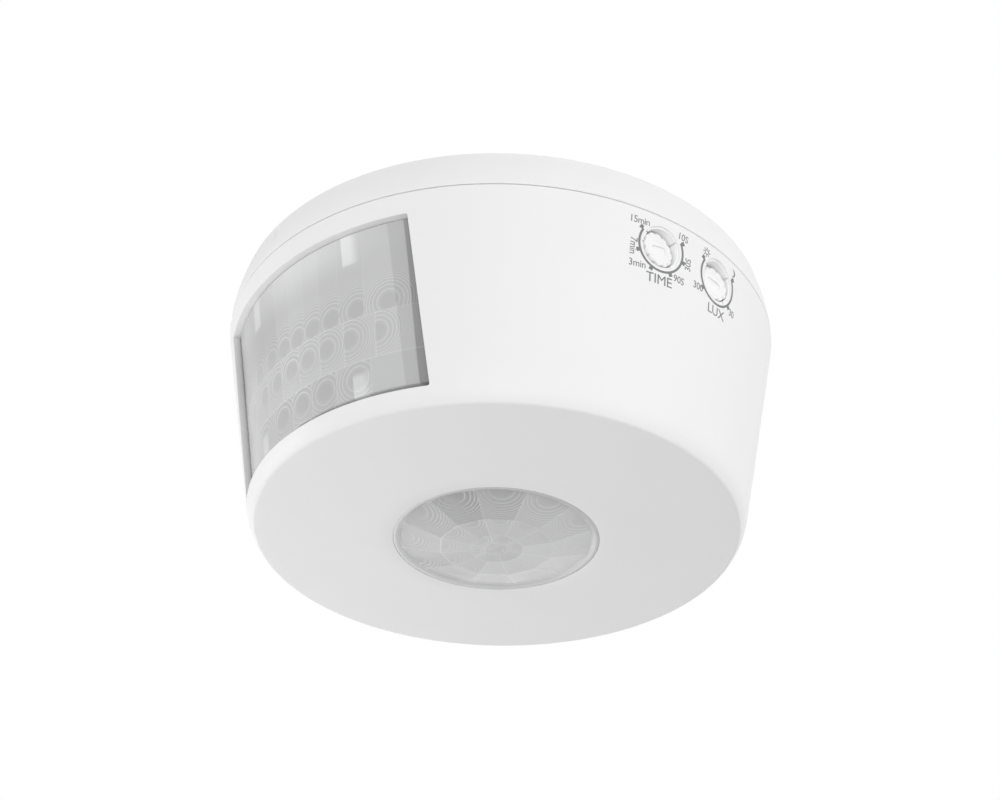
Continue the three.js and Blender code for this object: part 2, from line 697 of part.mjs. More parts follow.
function sensorGroup() {
  const group = new THREE.Group();
  const windowSeat = CAN.height - 0.5;
  const holder = rod(4.6, 0, 4);
  group.add(underBoard('bottom_pir_holder', holder, 'blackPlastic', 0, 0));
  const canZ = UNDER_BOARD - 4 - GAP;
  group.add(piece('bottom_pir_can', sensorCan(), 'canMetal', [0, 0, canZ], UPSIDE_DOWN));
  group.add(piece('bottom_pir_window', sensorWindow(), 'darkGlass', [0, 0, canZ - windowSeat + 0.1],
    UPSIDE_DOWN));

  const facingFront = [Math.PI / 2, 0, 0];
  const canY = SIDE_BOARD_FRONT_Y - GAP;
  const board = block(-14, 14, SIDE_BOARD_FRONT_Y, SIDE_BOARD_FRONT_Y + 1.6, -42, UNDER_BOARD);
  group.add(piece('side_sensor_board', board, 'board'));
  group.add(piece('board_header', pinHeader(), 'blackPlastic',
    [0, SIDE_BOARD_FRONT_Y + 1.6 + GAP, UNDER_BOARD]));
  group.add(piece('side_pir_can', sensorCan(), 'canMetal', [0, canY, SIDE_SENSOR_Z], facingFront));
  group.add(piece('side_pir_window', sensorWindow(), 'darkGlass',
    [0, canY - windowSeat + 0.1, SIDE_SENSOR_Z], facingFront));
  group.add(underBoard('photocell', roundNosed(2.5, 3.6, false), 'brown', 12, 9));
  group.add(underBoard('indicator_led', roundNosed(1.5, 5.2, true), 'redLamp', -11, -9));
  return group;
}

function boardGroup() {
  const group = new THREE.Group();
  group.add(piece('main_board', mainBoard(), 'board'));
  group.add(...screwSet('board_screw', BOARD_SCREW_RADIUS, BOARD_SCREW_ANGLES, BOARD_TOP + GAP));
  group.add(underBoard('relay', casedBlock(28.5, 10.1, 12.3, 0.6), 'relayPlastic', 0, 31));
  group.add(underBoard('film_capacitor', casedBlock(8, 18, 14.5, 0.8), 'filmPlastic', -30, 12));
  group.add(underBoard('electrolytic_capacitor', roundCan(5, 12.5), 'sleeve', 30, 14));
  group.add(underBoard('fuse', roundCan(4.25, 8), 'brown', -19, 17));
  group.add(underBoard('varistor', discOnEdge(5, 3.6), 'ceramicBlue', -34, -8));
  group.add(underBoard('inductor', drumCore(), 'blackPlastic', 27, -4));
  group.add(underBoard('controller_chip', chip(), 'blackPlastic', 14, -10));
  group.add(piece('terminal_block', terminalBlock(), 'terminalPlastic', [0, TERMINAL_Y, BOARD_TOP + GAP]));
  [-1, 0, 1].forEach((step, i) => {
    const z = BOARD_TOP + GAP + TERMINAL_SIZE.z - 3 + GAP;
    group.add(piece(`terminal_screw_${i + 1}`, terminalScrew(), 'zincSteel',
      [step * TERMINAL_PITCH, TERMINAL_Y, z]));
  });
  group.add(piece('time_trimmer_body', trimmer(), 'ceramicBlue', [TRIMMER_FRONT_X, TIME_KNOB_Y, KNOB_Z]));
  group.add(piece('lux_trimmer_body', trimmer(), 'ceramicBlue', [TRIMMER_FRONT_X, LUX_KNOB_Y, KNOB_Z]));
  return group;
}

function knobGroup(name, slotAngle, y) {
  const group = new THREE.Group();
  group.position.set(KNOB_FACE_X, y, KNOB_Z);
  group.rotation.copy(FACING_X);
  group.add(piece(name, knob(slotAngle), 'knobPlastic'));
  return group;
}

const motionSensor = new THREE.Group();
motionSensor.add(
  baseGroup(),
  shellGroup(),
  boardGroup(),
  sensorGroup(),
  knobGroup('time_knob', TIME_SLOT_ANGLE, TIME_KNOB_Y),
  knobGroup('lux_knob', LUX_SLOT_ANGLE, LUX_KNOB_Y),
);

export default motionSensor;
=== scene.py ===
"""Ceiling motion sensor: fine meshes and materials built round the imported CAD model."""

import json
import math

import bmesh
import bpy
import numpy as np
from mathutils import Matrix, Vector
from mathutils.geometry import delaunay_2d_cdt

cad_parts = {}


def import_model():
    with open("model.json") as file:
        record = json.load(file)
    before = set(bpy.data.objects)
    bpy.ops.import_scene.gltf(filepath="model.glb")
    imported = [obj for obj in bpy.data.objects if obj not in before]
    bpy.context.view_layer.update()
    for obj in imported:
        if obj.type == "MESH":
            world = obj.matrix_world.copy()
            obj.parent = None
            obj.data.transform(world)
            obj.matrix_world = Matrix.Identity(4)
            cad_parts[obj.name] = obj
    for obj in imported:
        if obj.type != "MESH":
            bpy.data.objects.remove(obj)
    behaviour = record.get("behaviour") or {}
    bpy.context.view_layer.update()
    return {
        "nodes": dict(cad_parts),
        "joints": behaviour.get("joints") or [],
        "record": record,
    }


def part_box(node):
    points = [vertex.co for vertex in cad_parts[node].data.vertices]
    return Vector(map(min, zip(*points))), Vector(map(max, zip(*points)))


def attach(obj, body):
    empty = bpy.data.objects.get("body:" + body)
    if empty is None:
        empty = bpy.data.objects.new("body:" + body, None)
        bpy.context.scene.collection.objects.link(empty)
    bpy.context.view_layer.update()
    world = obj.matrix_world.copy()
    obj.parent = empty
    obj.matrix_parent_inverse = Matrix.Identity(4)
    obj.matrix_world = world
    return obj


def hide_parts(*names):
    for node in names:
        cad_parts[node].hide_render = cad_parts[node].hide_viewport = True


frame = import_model()

MM = 0.001


# ---- sizes, in millimetres

BASE_BOX = [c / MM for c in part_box("mounting_base")]
COVER_BOX = [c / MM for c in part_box("housing_cover")]
DOME_BOX = [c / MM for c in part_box("bottom_lens")]
GRIP = {j["name"]: Vector(j["pos_m"]) / MM for j in frame["joints"]}
DIALS = ("time_knob_turn", "lux_knob_turn")

WIDEST = BASE_BOX[1].x
FLARE = 1.7
CEILING_RADIUS = WIDEST - FLARE
BASE_LOW = BASE_BOX[0].z
SEAM_GAP = 0.15
COVER_TOP = BASE_LOW - SEAM_GAP
COVER_LOW = COVER_BOX[0].z
SPIGOT_TOP = COVER_BOX[1].z
LENS_FLANGE_RADIUS = DOME_BOX[1].x
PARTING_Z = (BASE_LOW + COVER_TOP) / 2
TAPER = math.radians(9.92)
WALL = 2.2
FLOOR_Z = COVER_LOW + 2.4   # the inside of the head's lower face
BOTTOM_EDGE_Z = COVER_LOW + 0.8
EDGE_RADIUS = 0.8
SWEEP_RADIUS = 9.4
SWEEP_END = math.radians(35)
SWEEP_Z = BOTTOM_EDGE_Z + EDGE_RADIUS + (SWEEP_RADIUS - EDGE_RADIUS) * math.sin(SWEEP_END)
ROUND = 288                 # sides of a turned piece

WINDOW = {"half": 29.3, "top": -14.1, "bottom": -51.6, "corner": 0.35, "edge": 0.12}
PANE = {"half": 29.0, "top": -14.25, "bottom": -50.0, "front": 1.5, "back": 2.9}
FINGER = {"x": 15.2, "half": 1.4, "upper": -20.8, "lower": -45.2}
APERTURE_RADIUS = 21.66
DOME_RADIUS = 21.65
DOME_LIP = (21.5, -56.12)   # radius and height
DOME_VALLEY = (20.3, -55.8)
DOME_BREAK = (12.0, -57.95)
DIAL_HOLE_RADIUS = 4.55
KNOB_RADIUS = 3.85
CABLE_HOLE_RADIUS = 8.0
CABLE_HOLE_Y = 12.0
BASE_PLATE = 2.5
SLOT_X = 33.0
SLOT_RADIUS, SLOT_STRAIGHT = 2.3, 3.7
MARK = {"x": -5.1, "half": 0.45, "low": -6.1, "high": -1.7, "corner": 0.3, "depth": 0.2}


def cone_radius(z, depth=0.0):
    """Radius of the head at a height, moved in by a depth square to its surface."""
    return WIDEST - (PARTING_Z - z) * math.tan(TAPER) - depth / math.cos(TAPER)


def side_radius(z, depth=0.0):
    """Radius of the head's side, which sweeps in just above the bottom edge."""
    radius = SWEEP_RADIUS - depth
    if z > SWEEP_Z - radius * math.sin(TAPER):
        return cone_radius(z, depth)
    return cone_radius(SWEEP_Z, SWEEP_RADIUS) + math.sqrt(radius * radius - (SWEEP_Z - z) ** 2)


def rim_radius(z):
    """Radius of the mounting base's flared rim at a height."""
    return CEILING_RADIUS + (WIDEST - CEILING_RADIUS) * math.sin(math.pi / 2 * z / BASE_LOW)


# ---- mesh helpers

class Shape:
    """Vertices in millimetres, faces, and a tone for each vertex."""

    def __init__(self):
        self.verts = []
        self.faces = []
        self.tones = []

    def add(self, verts, faces, tones=None):
        start = len(self.verts)
        self.verts += [tuple(v) for v in verts]
        self.faces += [tuple(start + i for i in face) for face in faces]
        self.tones += list(tones) if tones is not None else [1.0] * len(verts)
        return self

    def join(self, other, matrix=None):
        verts = other.verts if matrix is None else [tuple(matrix @ Vector(v)) for v in other.verts]
        return self.add(verts, other.faces, other.tones)


link = bpy.context.scene.collection.objects.link


def build(name, shape, body, slot="white_shell", replaces=(), sharp=35, surface=None):
    """A closed piece from a shape, riding on a body, with its slot's material or one of its own."""
    mesh = bpy.data.meshes.new(name)
    mesh.from_pydata([Vector(v) * MM for v in shape.verts], [], shape.faces)
    tone = mesh.attributes.new("tone", "FLOAT", "POINT")
    tone.data.foreach_set("value", np.array(shape.tones, np.float32))
    work = bmesh.new()
    work.from_mesh(mesh)
    bmesh.ops.remove_doubles(work, verts=work.verts, dist=2e-6)
    bmesh.ops.recalc_face_normals(work, faces=work.faces)
    work.to_mesh(mesh)
    work.free()
    mesh.polygons.foreach_set("use_smooth", [True] * len(mesh.polygons))
    mesh.set_sharp_from_angle(angle=math.radians(sharp))
    mesh.materials.append(surface or SLOT_MATERIALS[slot])
    piece = bpy.data.objects.new(name, mesh)
    link(piece)
    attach(piece, body)
    if replaces:
        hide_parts(*replaces)
    return piece


def arc(centre_r, centre_z, radius, start, end, steps):
    """Points of an arc, angles in degrees."""
    points = []
    for i in range(steps + 1):
        a = math.radians(start + (end - start) * i / steps)
        points.append((centre_r + radius * math.cos(a), centre_z + radius * math.sin(a)))
    return points


def around(a, r, z):
    """A point at an angle in degrees from the window's direction, towards the knobs."""
    return (r * math.sin(math.radians(a)), -r * math.cos(math.radians(a)), z)


def lathe(profile, sides=ROUND, closed=True):
    """A profile of (radius, z) points turned about Z."""
    verts = [around(360 * k / sides - 180, r, z) for k in range(sides) for r, z in profile]
    count = len(profile)
    faces = []
    for k in range(sides):
        here, there = k * count, (k + 1) % sides * count
        for i in range(count if closed else count - 1):
            j = (i + 1) % count
            if profile[i][0] < 1e-6 and profile[j][0] < 1e-6:
                continue
            faces.append((here + i, there + i, there + j, here + j))
    return Shape().add(verts, faces)


def inside_loop(points, loop):
    """Which 2D points lie inside a closed loop."""
    inside = np.zeros(len(points), bool)
    x, y = points[:, 0], points[:, 1]
    for (x0, y0), (x1, y1) in zip(loop, np.roll(loop, -1, axis=0)):
        if y0 == y1:
            continue
        inside ^= ((y0 > y) != (y1 > y)) & (x < (x1 - x0) * (y - y0) / (y1 - y0) + x0)
    return inside


def filled(grid, holes, outer, clear, extra=()):
    """Triangles over 2D grid points inside an outer loop and outside the holes, the points at least
    a clear distance from every loop. The extra loops are only points."""
    def wanted(points):
        good = inside_loop(points, outer)
        for loop in holes:
            good &= ~inside_loop(points, loop)
        return good

    grid = np.array(grid, float)
    keep = wanted(grid)
    loops = [*holes, outer]
    for loop in [*loops, *extra]:
        for start in range(0, len(loop), 64):
            part = loop[start:start + 64]
            keep &= np.linalg.norm(grid[:, None] - part[None], axis=2).min(1) > clear
    points = [tuple(p) for p in grid[keep]] + [tuple(p) for e in extra for p in e]
    edges = []
    for loop in loops:
        start = len(points)
        points += [tuple(p) for p in loop]
        edges += [(start + i, start + (i + 1) % len(loop)) for i in range(len(loop))]
    flat, _, faces, *_ = delaunay_2d_cdt([Vector(p) for p in points], edges, [], 0, 1e-7)
    flat = np.array([tuple(p) for p in flat])
    middles = np.array([flat[list(f)].mean(0) for f in faces])
    return flat, [tuple(f) for f, good in zip(faces, wanted(middles)) if good]


DEGREE = math.radians(1) * WIDEST    # length of a degree along the head's widest circle


def band(radius_at, z_high, z_low, holes, supports=(), rows=26):
    """A surface of revolution between two heights, with holes given as loops of 3D points."""
    columns = [360 * k / ROUND - 180 for k in range(ROUND + 1)]
    heights = [z_high + (z_low - z_high) * i / rows for i in range(rows + 1)]

    def unroll(loop):
        return np.array([(math.degrees(math.atan2(x, -y)) * DEGREE, z) for x, y, z in loop])

    inner = [(a * DEGREE, z) for z in heights[1:-1] for a in columns[1:-1]]
    border = [(a * DEGREE, heights[0]) for a in columns]
    border += [(180 * DEGREE, z) for z in heights[1:-1]]
    border += [(a * DEGREE, heights[-1]) for a in reversed(columns)]
    border += [(-180 * DEGREE, z) for z in reversed(heights[1:-1])]
    flat, faces = filled(inner, [unroll(h) for h in holes], np.array(border), 0.5,
                         [unroll(s) for s in supports])
    verts = [around(u / DEGREE, radius_at(z), z) for u, z in flat]
    return Shape().add(verts, faces)


def tube_of_rings(rings):
    """Quads between closed rings of equal length."""
    count = len(rings[0])
    verts = [p for ring in rings for p in ring]
    faces = []
    for k in range(len(rings) - 1):
        for i in range(count):
            j = (i + 1) % count
            faces.append((k * count + i, k * count + j, (k + 1) * count + j, (k + 1) * count + i))
    return Shape().add(verts, faces)


def capped_bar(rings):
    """A closed bar through rings of four points, with its ends capped."""
    shape = tube_of_rings(rings)
    last = 4 * (len(rings) - 1)
    shape.faces += [(3, 2, 1, 0), (last, last + 1, last + 2, last + 3)]
    return shape


def rounded_outline(half_u, low, high, radius, step=1.4, mid_u=0.0):
    """Points of a rounded rectangle with their outward directions."""
    placed = []
    for u, z, start in ((half_u, high, 0), (-half_u, high, 90), (-half_u, low, 180), (half_u, low, 270)):
        cu = u - math.copysign(radius, u)
        cz = z - (radius if z == high else -radius)
        for i in range(5):
            a = math.radians(start + 90 * i / 4)
            n = (math.cos(a), math.sin(a))
            placed.append(((mid_u + cu + radius * n[0], cz + radius * n[1]), n))
    outline = []
    for (p, n), (q, _) in zip(placed, placed[1:] + placed[:1]):
        outline.append((p, n))
        length = math.dist(p, q)
        if length > 1.5 * step:
            parts = round(length / step)
            for i in range(1, parts):
                outline.append(((p[0] + (q[0] - p[0]) * i / parts, p[1] + (q[1] - p[1]) * i / parts), n))
    return outline


def round_outline(y, z, radius, count=72):
    """Points of a circle with their outward directions."""
    outline = []
    for i in range(count):
        a = 2 * math.pi * i / count
        n = (math.cos(a), math.sin(a))
        outline.append(((y + radius * n[0], z + radius * n[1]), n))
    return outline


def on_side(u, z, side, depth=0.0):
    """The head's point at a height and a sideways place, on its front (-Y) or its knob side (+X)."""
    r = side_radius(z, depth)
    across = math.sqrt(r * r - u * u)
    return Vector((u, -across, z)) if side == "front" else Vector((across, u, z))


def facing_knobs(grip, depth=0.0):
    """Turns a shape that faces +Z to face +X, round a dial's middle."""
    return Matrix(((0, 0, 1, depth), (1, 0, 0, grip.y), (0, 1, 0, grip.z), (0, 0, 0, 1)))


def opening(outline, side, edge, steps=4):
    """Rings from the head's surface, round a moulded edge, to the inner surface; and a support ring."""
    rings = [[] for _ in range(steps + 2)]
    support = []
    for (u, z), (nu, nz) in outline:
        corner = on_side(u, z, side)
        speed = (on_side(u + nu * 0.01, z + nz * 0.01, side) - corner).length / 0.01
        reach = edge / speed
        start = on_side(u + nu * reach, z + nz * reach, side)
        inner = on_side(u, z, side, WALL)
        inward = (inner - corner).normalized()
        end = corner + inward * edge
        for k in range(steps + 1):
            t = k / steps
            rings[k].append((1 - t) ** 2 * start + 2 * t * (1 - t) * corner + t * t * end)
        rings[-1].append(inner)
        support.append(on_side(u + nu * reach * 2, z + nz * reach * 2, side))
    return rings, support


def disc(z, radius, holes):
    """A flat round plate's face with holes, on the rim points of a turned piece."""
    rim = np.array([around(360 * k / ROUND - 180, radius, 0)[:2] for k in range(ROUND)])
    step = 3.0
    cells = int(radius / step) + 1
    grid = [(i * step, j * step) for i in range(-cells, cells + 1) for j in range(-cells, cells + 1)]
    flat, faces = filled(grid, holes, rim, 0.8)
    return Shape().add([(x, y, z) for x, y in flat], faces)


# ---- materials

def new_node(nodes, kind, **values):
    """A shader node, with values for its inputs."""
    node = nodes.new("ShaderNode" + kind)
    for name, value in values.items():
        node.inputs[name.replace("_", " ")].default_value = value
    return node


class Look:
    """A procedural material that varies over the object's own space, scales in cells per metre."""

    def __init__(self, name):
        self.made = bpy.data.materials.new(name)
        self.made.use_nodes = True
        self.nodes, self.links = self.made.node_tree.nodes, self.made.node_tree.links
        self.shader = self.nodes["Principled BSDF"]

    def noise(self, scale, detail=3.0):
        where = new_node(self.nodes, "TexCoord")
        texture = new_node(self.nodes, "TexNoise", Scale=scale, Detail=detail)
        self.links.new(where.outputs["Object"], texture.inputs["Vector"])
        return texture.outputs["Fac"]

    def colour(self, colour, spread, scale):
        """Base colour that wanders slightly round a value."""
        ramp = new_node(self.nodes, "ValToRGB")
        for element, place, side in zip(ramp.color_ramp.elements, (0.3, 0.7), (-1, 1)):
            element.position = place
            element.color = (*[c * (1 + side * spread) for c in colour], 1)
        self.links.new(self.noise(scale), ramp.inputs["Fac"])
        self.links.new(ramp.outputs["Color"], self.shader.inputs["Base Color"])

    def roughness(self, low, high, scale):
        between = new_node(self.nodes, "MapRange", To_Min=low, To_Max=high)
        self.links.new(self.noise(scale), between.inputs["Value"])
        self.links.new(between.outputs["Result"], self.shader.inputs["Roughness"])

    def grain(self, scale, height):
        """Fine surface grain, height in metres."""
        bump = new_node(self.nodes, "Bump", Strength=1.0, Distance=height)
        self.links.new(self.noise(scale, 2.0), bump.inputs["Height"])
        self.links.new(bump.outputs["Normal"], self.shader.inputs["Normal"])


def moulded(name, colour, rough=(0.4, 0.5), spread=0.006, grain=2.0e-6, specular=0.5):
    look = Look(name)
    look.colour(colour, spread, 60)
    look.roughness(*rough, 90)
    look.grain(2600, grain)
    look.shader.inputs["Specular IOR Level"].default_value = specular
    return look.made


def metal(name, colour, rough):
    look = Look(name)
    look.colour(colour, 0.08, 500)
    look.roughness(*rough, 900)
    look.grain(4000, 2e-6)
    look.shader.inputs["Metallic"].default_value = 1.0
    return look.made


def lens_material():
    """Milky polyethylene: its tone follows the moulded zones and carries painted light and shade."""
    look = Look("lens_polyethylene")
    tone = new_node(look.nodes, "Attribute")
    tone.attribute_name = "tone"
    ramp = new_node(look.nodes, "ValToRGB")
    ramp.color_ramp.elements[0].color = (0.12, 0.12, 0.12, 1)
    ramp.color_ramp.elements[1].color = (0.88, 0.885, 0.885, 1)
    look.links.new(tone.outputs["Fac"], ramp.inputs["Fac"])
    look.links.new(ramp.outputs["Color"], look.shader.inputs["Base Color"])
    look.roughness(0.22, 0.28, 200)
    look.grain(3000, 0.5e-6)
    return look.made


def board_material():
    """Green solder mask over a faint pattern of copper tracks."""
    look = Look("green_board")
    where = new_node(look.nodes, "TexCoord")
    tracks = new_node(look.nodes, "TexBrick", Scale=320, Color1=(0.02, 0.12, 0.05, 1),
                      Color2=(0.026, 0.15, 0.062, 1), Mortar=(0.05, 0.22, 0.09, 1), Mortar_Size=0.03)
    look.links.new(where.outputs["Object"], tracks.inputs["Vector"])
    look.links.new(tracks.outputs["Color"], look.shader.inputs["Base Color"])
    look.roughness(0.3, 0.42, 300)
    return look.made


SLOT_MATERIALS = {
    "white_shell": moulded("white_abs", (0.875, 0.875, 0.875), specular=0.28),
    "inner_white": moulded("inner_white_plastic", (0.8, 0.8, 0.775), (0.45, 0.6), 0.015),
    "lens_plastic": lens_material(),
    "knob_plastic": moulded("knob_plastic", (0.91, 0.915, 0.91), (0.22, 0.3)),
    "dial_print": moulded("dial_ink", (0.21, 0.215, 0.22), (0.5, 0.6), 0.04),
    "rubber": moulded("grommet_rubber", (0.03, 0.03, 0.032), (0.65, 0.8), 0.1, 6e-6, 0.3),
    "circuit_board": board_material(),
    "zinc_screw": metal("zinc_plate", (0.6, 0.61, 0.63), (0.25, 0.4)),
    "can_metal": metal("nickel_can", (0.66, 0.66, 0.68), (0.15, 0.3)),
    "dark_filter": moulded("infrared_filter", (0.02, 0.02, 0.026), (0.08, 0.15), 0.1, 0.5e-6),
    "black_plastic": moulded("black_epoxy", (0.02, 0.021, 0.023), (0.4, 0.6), 0.15, 5e-6),
    "trimmer_blue": moulded("blue_case", (0.03, 0.13, 0.38), (0.35, 0.5), 0.06, 3e-6),
    "brown_case": moulded("brown_case", (0.15, 0.05, 0.025), (0.35, 0.5), 0.08, 3e-6),
    "red_lamp": moulded("red_epoxy", (0.45, 0.03, 0.02), (0.08, 0.15), 0.04, 0.5e-6),
    "relay_case": moulded("relay_case", (0.03, 0.11, 0.35), (0.35, 0.5), 0.06, 3e-6),
    "film_case": moulded("film_case", (0.55, 0.27, 0.03), (0.25, 0.4), 0.05, 3e-6),
    "capacitor_sleeve": moulded("shrunk_sleeve", (0.02, 0.03, 0.07), (0.2, 0.35), 0.1, 2e-6),
    "terminal_case": moulded("terminal_case", (0.11, 0.21, 0.1), (0.4, 0.55), 0.06, 3e-6),
}
# A lighter copy of the head's white plastic: painted light inside the dial wells, against their shade.
LIGHTENED_WELL = moulded("well_plastic_painted_light", (0.95, 0.95, 0.95), (0.3, 0.4))


# ---- mounting base

def slot_outline(x):
    """A screw slot with round ends along Y, as 2D points."""
    points = []
    for i in range(32):
        a = 2 * math.pi * (i + 0.5) / 32
        y = SLOT_RADIUS * math.sin(a) + math.copysign(SLOT_STRAIGHT, math.sin(a))
        points.append((x + SLOT_RADIUS * math.cos(a), y))
    return np.array(points)


def walls(loop, z_high, z_low):
    return tube_of_rings([[(x, y, z) for x, y in loop] for z in (z_high, z_low)])


def mark_hole():
    """The locking mark: a narrow moulded groove in the rim, with its floor."""
    outline = rounded_outline(MARK["half"], MARK["low"], MARK["high"], MARK["corner"], 0.6, MARK["x"])
    slopes = ((0.3, 0), (0.12, 0.03), (-0.05, 0.12), (-0.15, MARK["depth"]))    # outward, inward
    rings = [[] for _ in slopes]
    for (u, z), (nu, nz) in outline:
        for ring, (grow, sink) in zip(rings, slopes):
            pu, pz = u + nu * grow, z + nz * grow
            r = rim_radius(pz) - sink
            ring.append(Vector((pu, -math.sqrt(r * r - pu * pu), pz)))
    return rings


def mounting_base():
    seam = 54.0
    flat_edge = 57.4
    round_top, round_low = 0.35, 0.18
    inner, hollow_round, chamfer = 56.5, 1.0, 0.3
    mark = mark_hole()
    outer = band(rim_radius, -round_top, BASE_LOW + round_low, [mark[0]], rows=10)
    shape = Shape().join(outer).join(tube_of_rings(mark))
    floor = mark[-1]
    shape.add(floor, [tuple(range(len(floor)))])
    top_edge = [(rim_radius(0) - round_top, 0.0)]
    top_edge += arc(rim_radius(-round_top) - round_top, -round_top, round_top, 80, 0, 4)
    low_edge = arc(WIDEST - round_low, BASE_LOW + round_low, round_low, -10, -90, 4)
    low_edge[0] = (rim_radius(BASE_LOW + round_low), BASE_LOW + round_low)
    shape.join(lathe([(seam, 0.0), (flat_edge, 0.0), *top_edge], closed=False))
    hollow_z = -BASE_PLATE - hollow_round
    under = [*low_edge, (inner + chamfer, BASE_LOW), (inner, BASE_LOW + chamfer), (inner, hollow_z)]
    under += arc(inner - hollow_round, hollow_z, hollow_round, 0, 90, 4)[1:]
    shape.join(lathe([*under, (seam, -BASE_PLATE)], closed=False))
    cable_hole = [p for p, _ in round_outline(0, CABLE_HOLE_Y, CABLE_HOLE_RADIUS, 64)]
    holes = [slot_outline(SLOT_X), slot_outline(-SLOT_X), np.array(cable_hole)]
    shape.join(disc(0.0, seam, holes))
    shape.join(disc(-BASE_PLATE, seam, holes))
    for hole in holes:
        shape.join(walls(hole, 0.0, -BASE_PLATE))
    return shape


def ring_block(inner, outer, z_low, z_high, start, end, steps=10):
    """A block of a ring, angles from the window's direction."""
    corners = [(inner, z_low), (outer, z_low), (outer, z_high), (inner, z_high)]
    turns = [start + (end - start) * k / steps for k in range(steps + 1)]
    return capped_bar([[around(a, r, z) for r, z in corners] for a in turns])


def screw_pads():
    """Thicker pads under the base plate, round the screw slots."""
    half_x, half_y, corner = 5.0, 9.0, 1.2
    low, high = -BASE_PLATE - 1.0, -BASE_PLATE + 0.5
    shape = Shape()
    for x in (-SLOT_X, SLOT_X):
        hole = slot_outline(x)
        edge = np.array([p for p, _ in rounded_outline(half_x, -half_y, half_y, corner, 1.5, x)])
        grid = [(x + 2.0 * i, 2.0 * j) for i in range(-2, 3) for j in range(-4, 5)]
        flat, faces = filled(grid, [hole], edge, 0.5)
        for z in (low, high):
            shape.add([(u, v, z) for u, v in flat], faces)
        shape.join(walls(hole, high, low)).join(walls(edge, high, low))
    return shape


BAYONET_TURNS = (120, 240, 0)


def base_hooks():
    """The bayonet's hooks and stops inside the base's rim."""
    inner, outer, low = 55.3, 56.7, -8.9
    hook_top, stop_top = -7.4, -3.0
    shape = Shape()
    for middle in BAYONET_TURNS:
        shape.join(ring_block(inner, outer, low, hook_top, middle - 8, middle + 8))
        shape.join(ring_block(inner, outer, low, stop_top, middle + 8.5, middle + 10.5, 3))
    return shape


def grommet():
    """Soft ring through the base, with a rounded lip and a thin flange."""
    body = CABLE_HOLE_RADIUS - 0.3
    profile = [(5.0, -0.9), *arc(5.5, -0.9, 0.5, 180, 90, 4)[1:], *arc(body - 0.5, -0.9, 0.5, 90, 0, 4),
               (body, -2.8), (body + 1.6, -2.8), *arc(body + 1.6, -3.2, 0.4, 90, -90, 6)[1:],
               (body, -3.9), *arc(body - 0.6, -4.2, 0.6, 0, -90, 4), *arc(5.6, -4.2, 0.6, 270, 180, 4)]
    shape = lathe(profile, 96)
    shape.verts = [(x, y + CABLE_HOLE_Y, z) for x, y, z in shape.verts]
    return shape


# ---- housing cover

def housing_cover():
    top_round = 0.22
    spigot_out, spigot_in = 55.0, 53.0
    under_shoulder = COVER_TOP - WALL
    lean = math.degrees(TAPER)
    band_high = COVER_TOP - top_round - top_round * math.sin(TAPER)
    band_low, inner_low = -53.0, -52.6

    window = rounded_outline(WINDOW["half"], WINDOW["bottom"], WINDOW["top"], WINDOW["corner"])
    made = [opening(window, "front", WINDOW["edge"])]
    made += [opening(round_outline(GRIP[dial].y, GRIP[dial].z, DIAL_HOLE_RADIUS), "knobs", 0.2)
             for dial in DIALS]
    openings, supports = zip(*made)

    shape = band(side_radius, band_high, band_low, [rings[0] for rings in openings], supports, 36)
    shape.join(band(lambda z: side_radius(z, WALL), under_shoulder, inner_low,
                    [rings[-1] for rings in openings]))
    for rings in openings:
        shape.join(tube_of_rings(rings))

    edge_centre = cone_radius(COVER_TOP - top_round, top_round)
    upper = arc(edge_centre, COVER_TOP - top_round, top_round, -lean, 90, 6)
    upper += [(edge_centre - 0.2, COVER_TOP), (spigot_out, COVER_TOP), (spigot_out, SPIGOT_TOP - 0.3),
              (spigot_out - 0.3, SPIGOT_TOP), (spigot_in + 0.3, SPIGOT_TOP), (spigot_in, SPIGOT_TOP - 0.3),
              (spigot_in, under_shoulder), (cone_radius(under_shoulder, WALL), under_shoulder)]
    shape.join(lathe(upper, closed=False))

    edge_z = BOTTOM_EDGE_Z + EDGE_RADIUS
    sweep_low = edge_z - EDGE_RADIUS * math.sin(SWEEP_END)
    sweep = [band_low + (sweep_low - band_low) * i / 6 for i in range(7)]
    lower = [(side_radius(z), z) for z in sweep]
    edge_r = lower[-1][0] - EDGE_RADIUS * math.cos(SWEEP_END)
    lower += arc(edge_r, edge_z, EDGE_RADIUS, -math.degrees(SWEEP_END), -89, 6)[1:]
    rim = 0.05
    lip = APERTURE_RADIUS + rim
    crown = (BOTTOM_EDGE_Z - COVER_LOW) / (edge_r ** 2 - lip ** 2)
    for i in range(1, 9):
        r = edge_r + (lip - edge_r) * i / 8
        lower.append((r, COVER_LOW + crown * (r * r - lip * lip)))
    lower += arc(lip, COVER_LOW + rim, rim, -120, -180, 3)
    lower += [(APERTURE_RADIUS, FLOOR_Z), (side_radius(FLOOR_Z, WALL) - 0.1, FLOOR_Z)]
    lower += [(side_radius(z, WALL), z) for z in (-53.5, -53.2, -52.9, inner_low)]
    shape.join(lathe(lower, closed=False))
    return shape


def cover_lugs():
    """The bayonet's lugs, on the outside of the head's spigot."""
    shape = Shape()
    for middle in BAYONET_TURNS:
        shape.join(ring_block(54.5, 56.2, -7.0, -4.4, middle - 7.5, middle + 7.5))
    return shape


# each post's distance from the axis, its turn and the height of its top
POSTS = [(49.0, 60, -12.3), (49.0, 180, -12.3), (49.0, 322, -12.3),
         (42.0, 100, -21.7), (42.0, 215, -21.7), (42.0, 335, -21.7)]


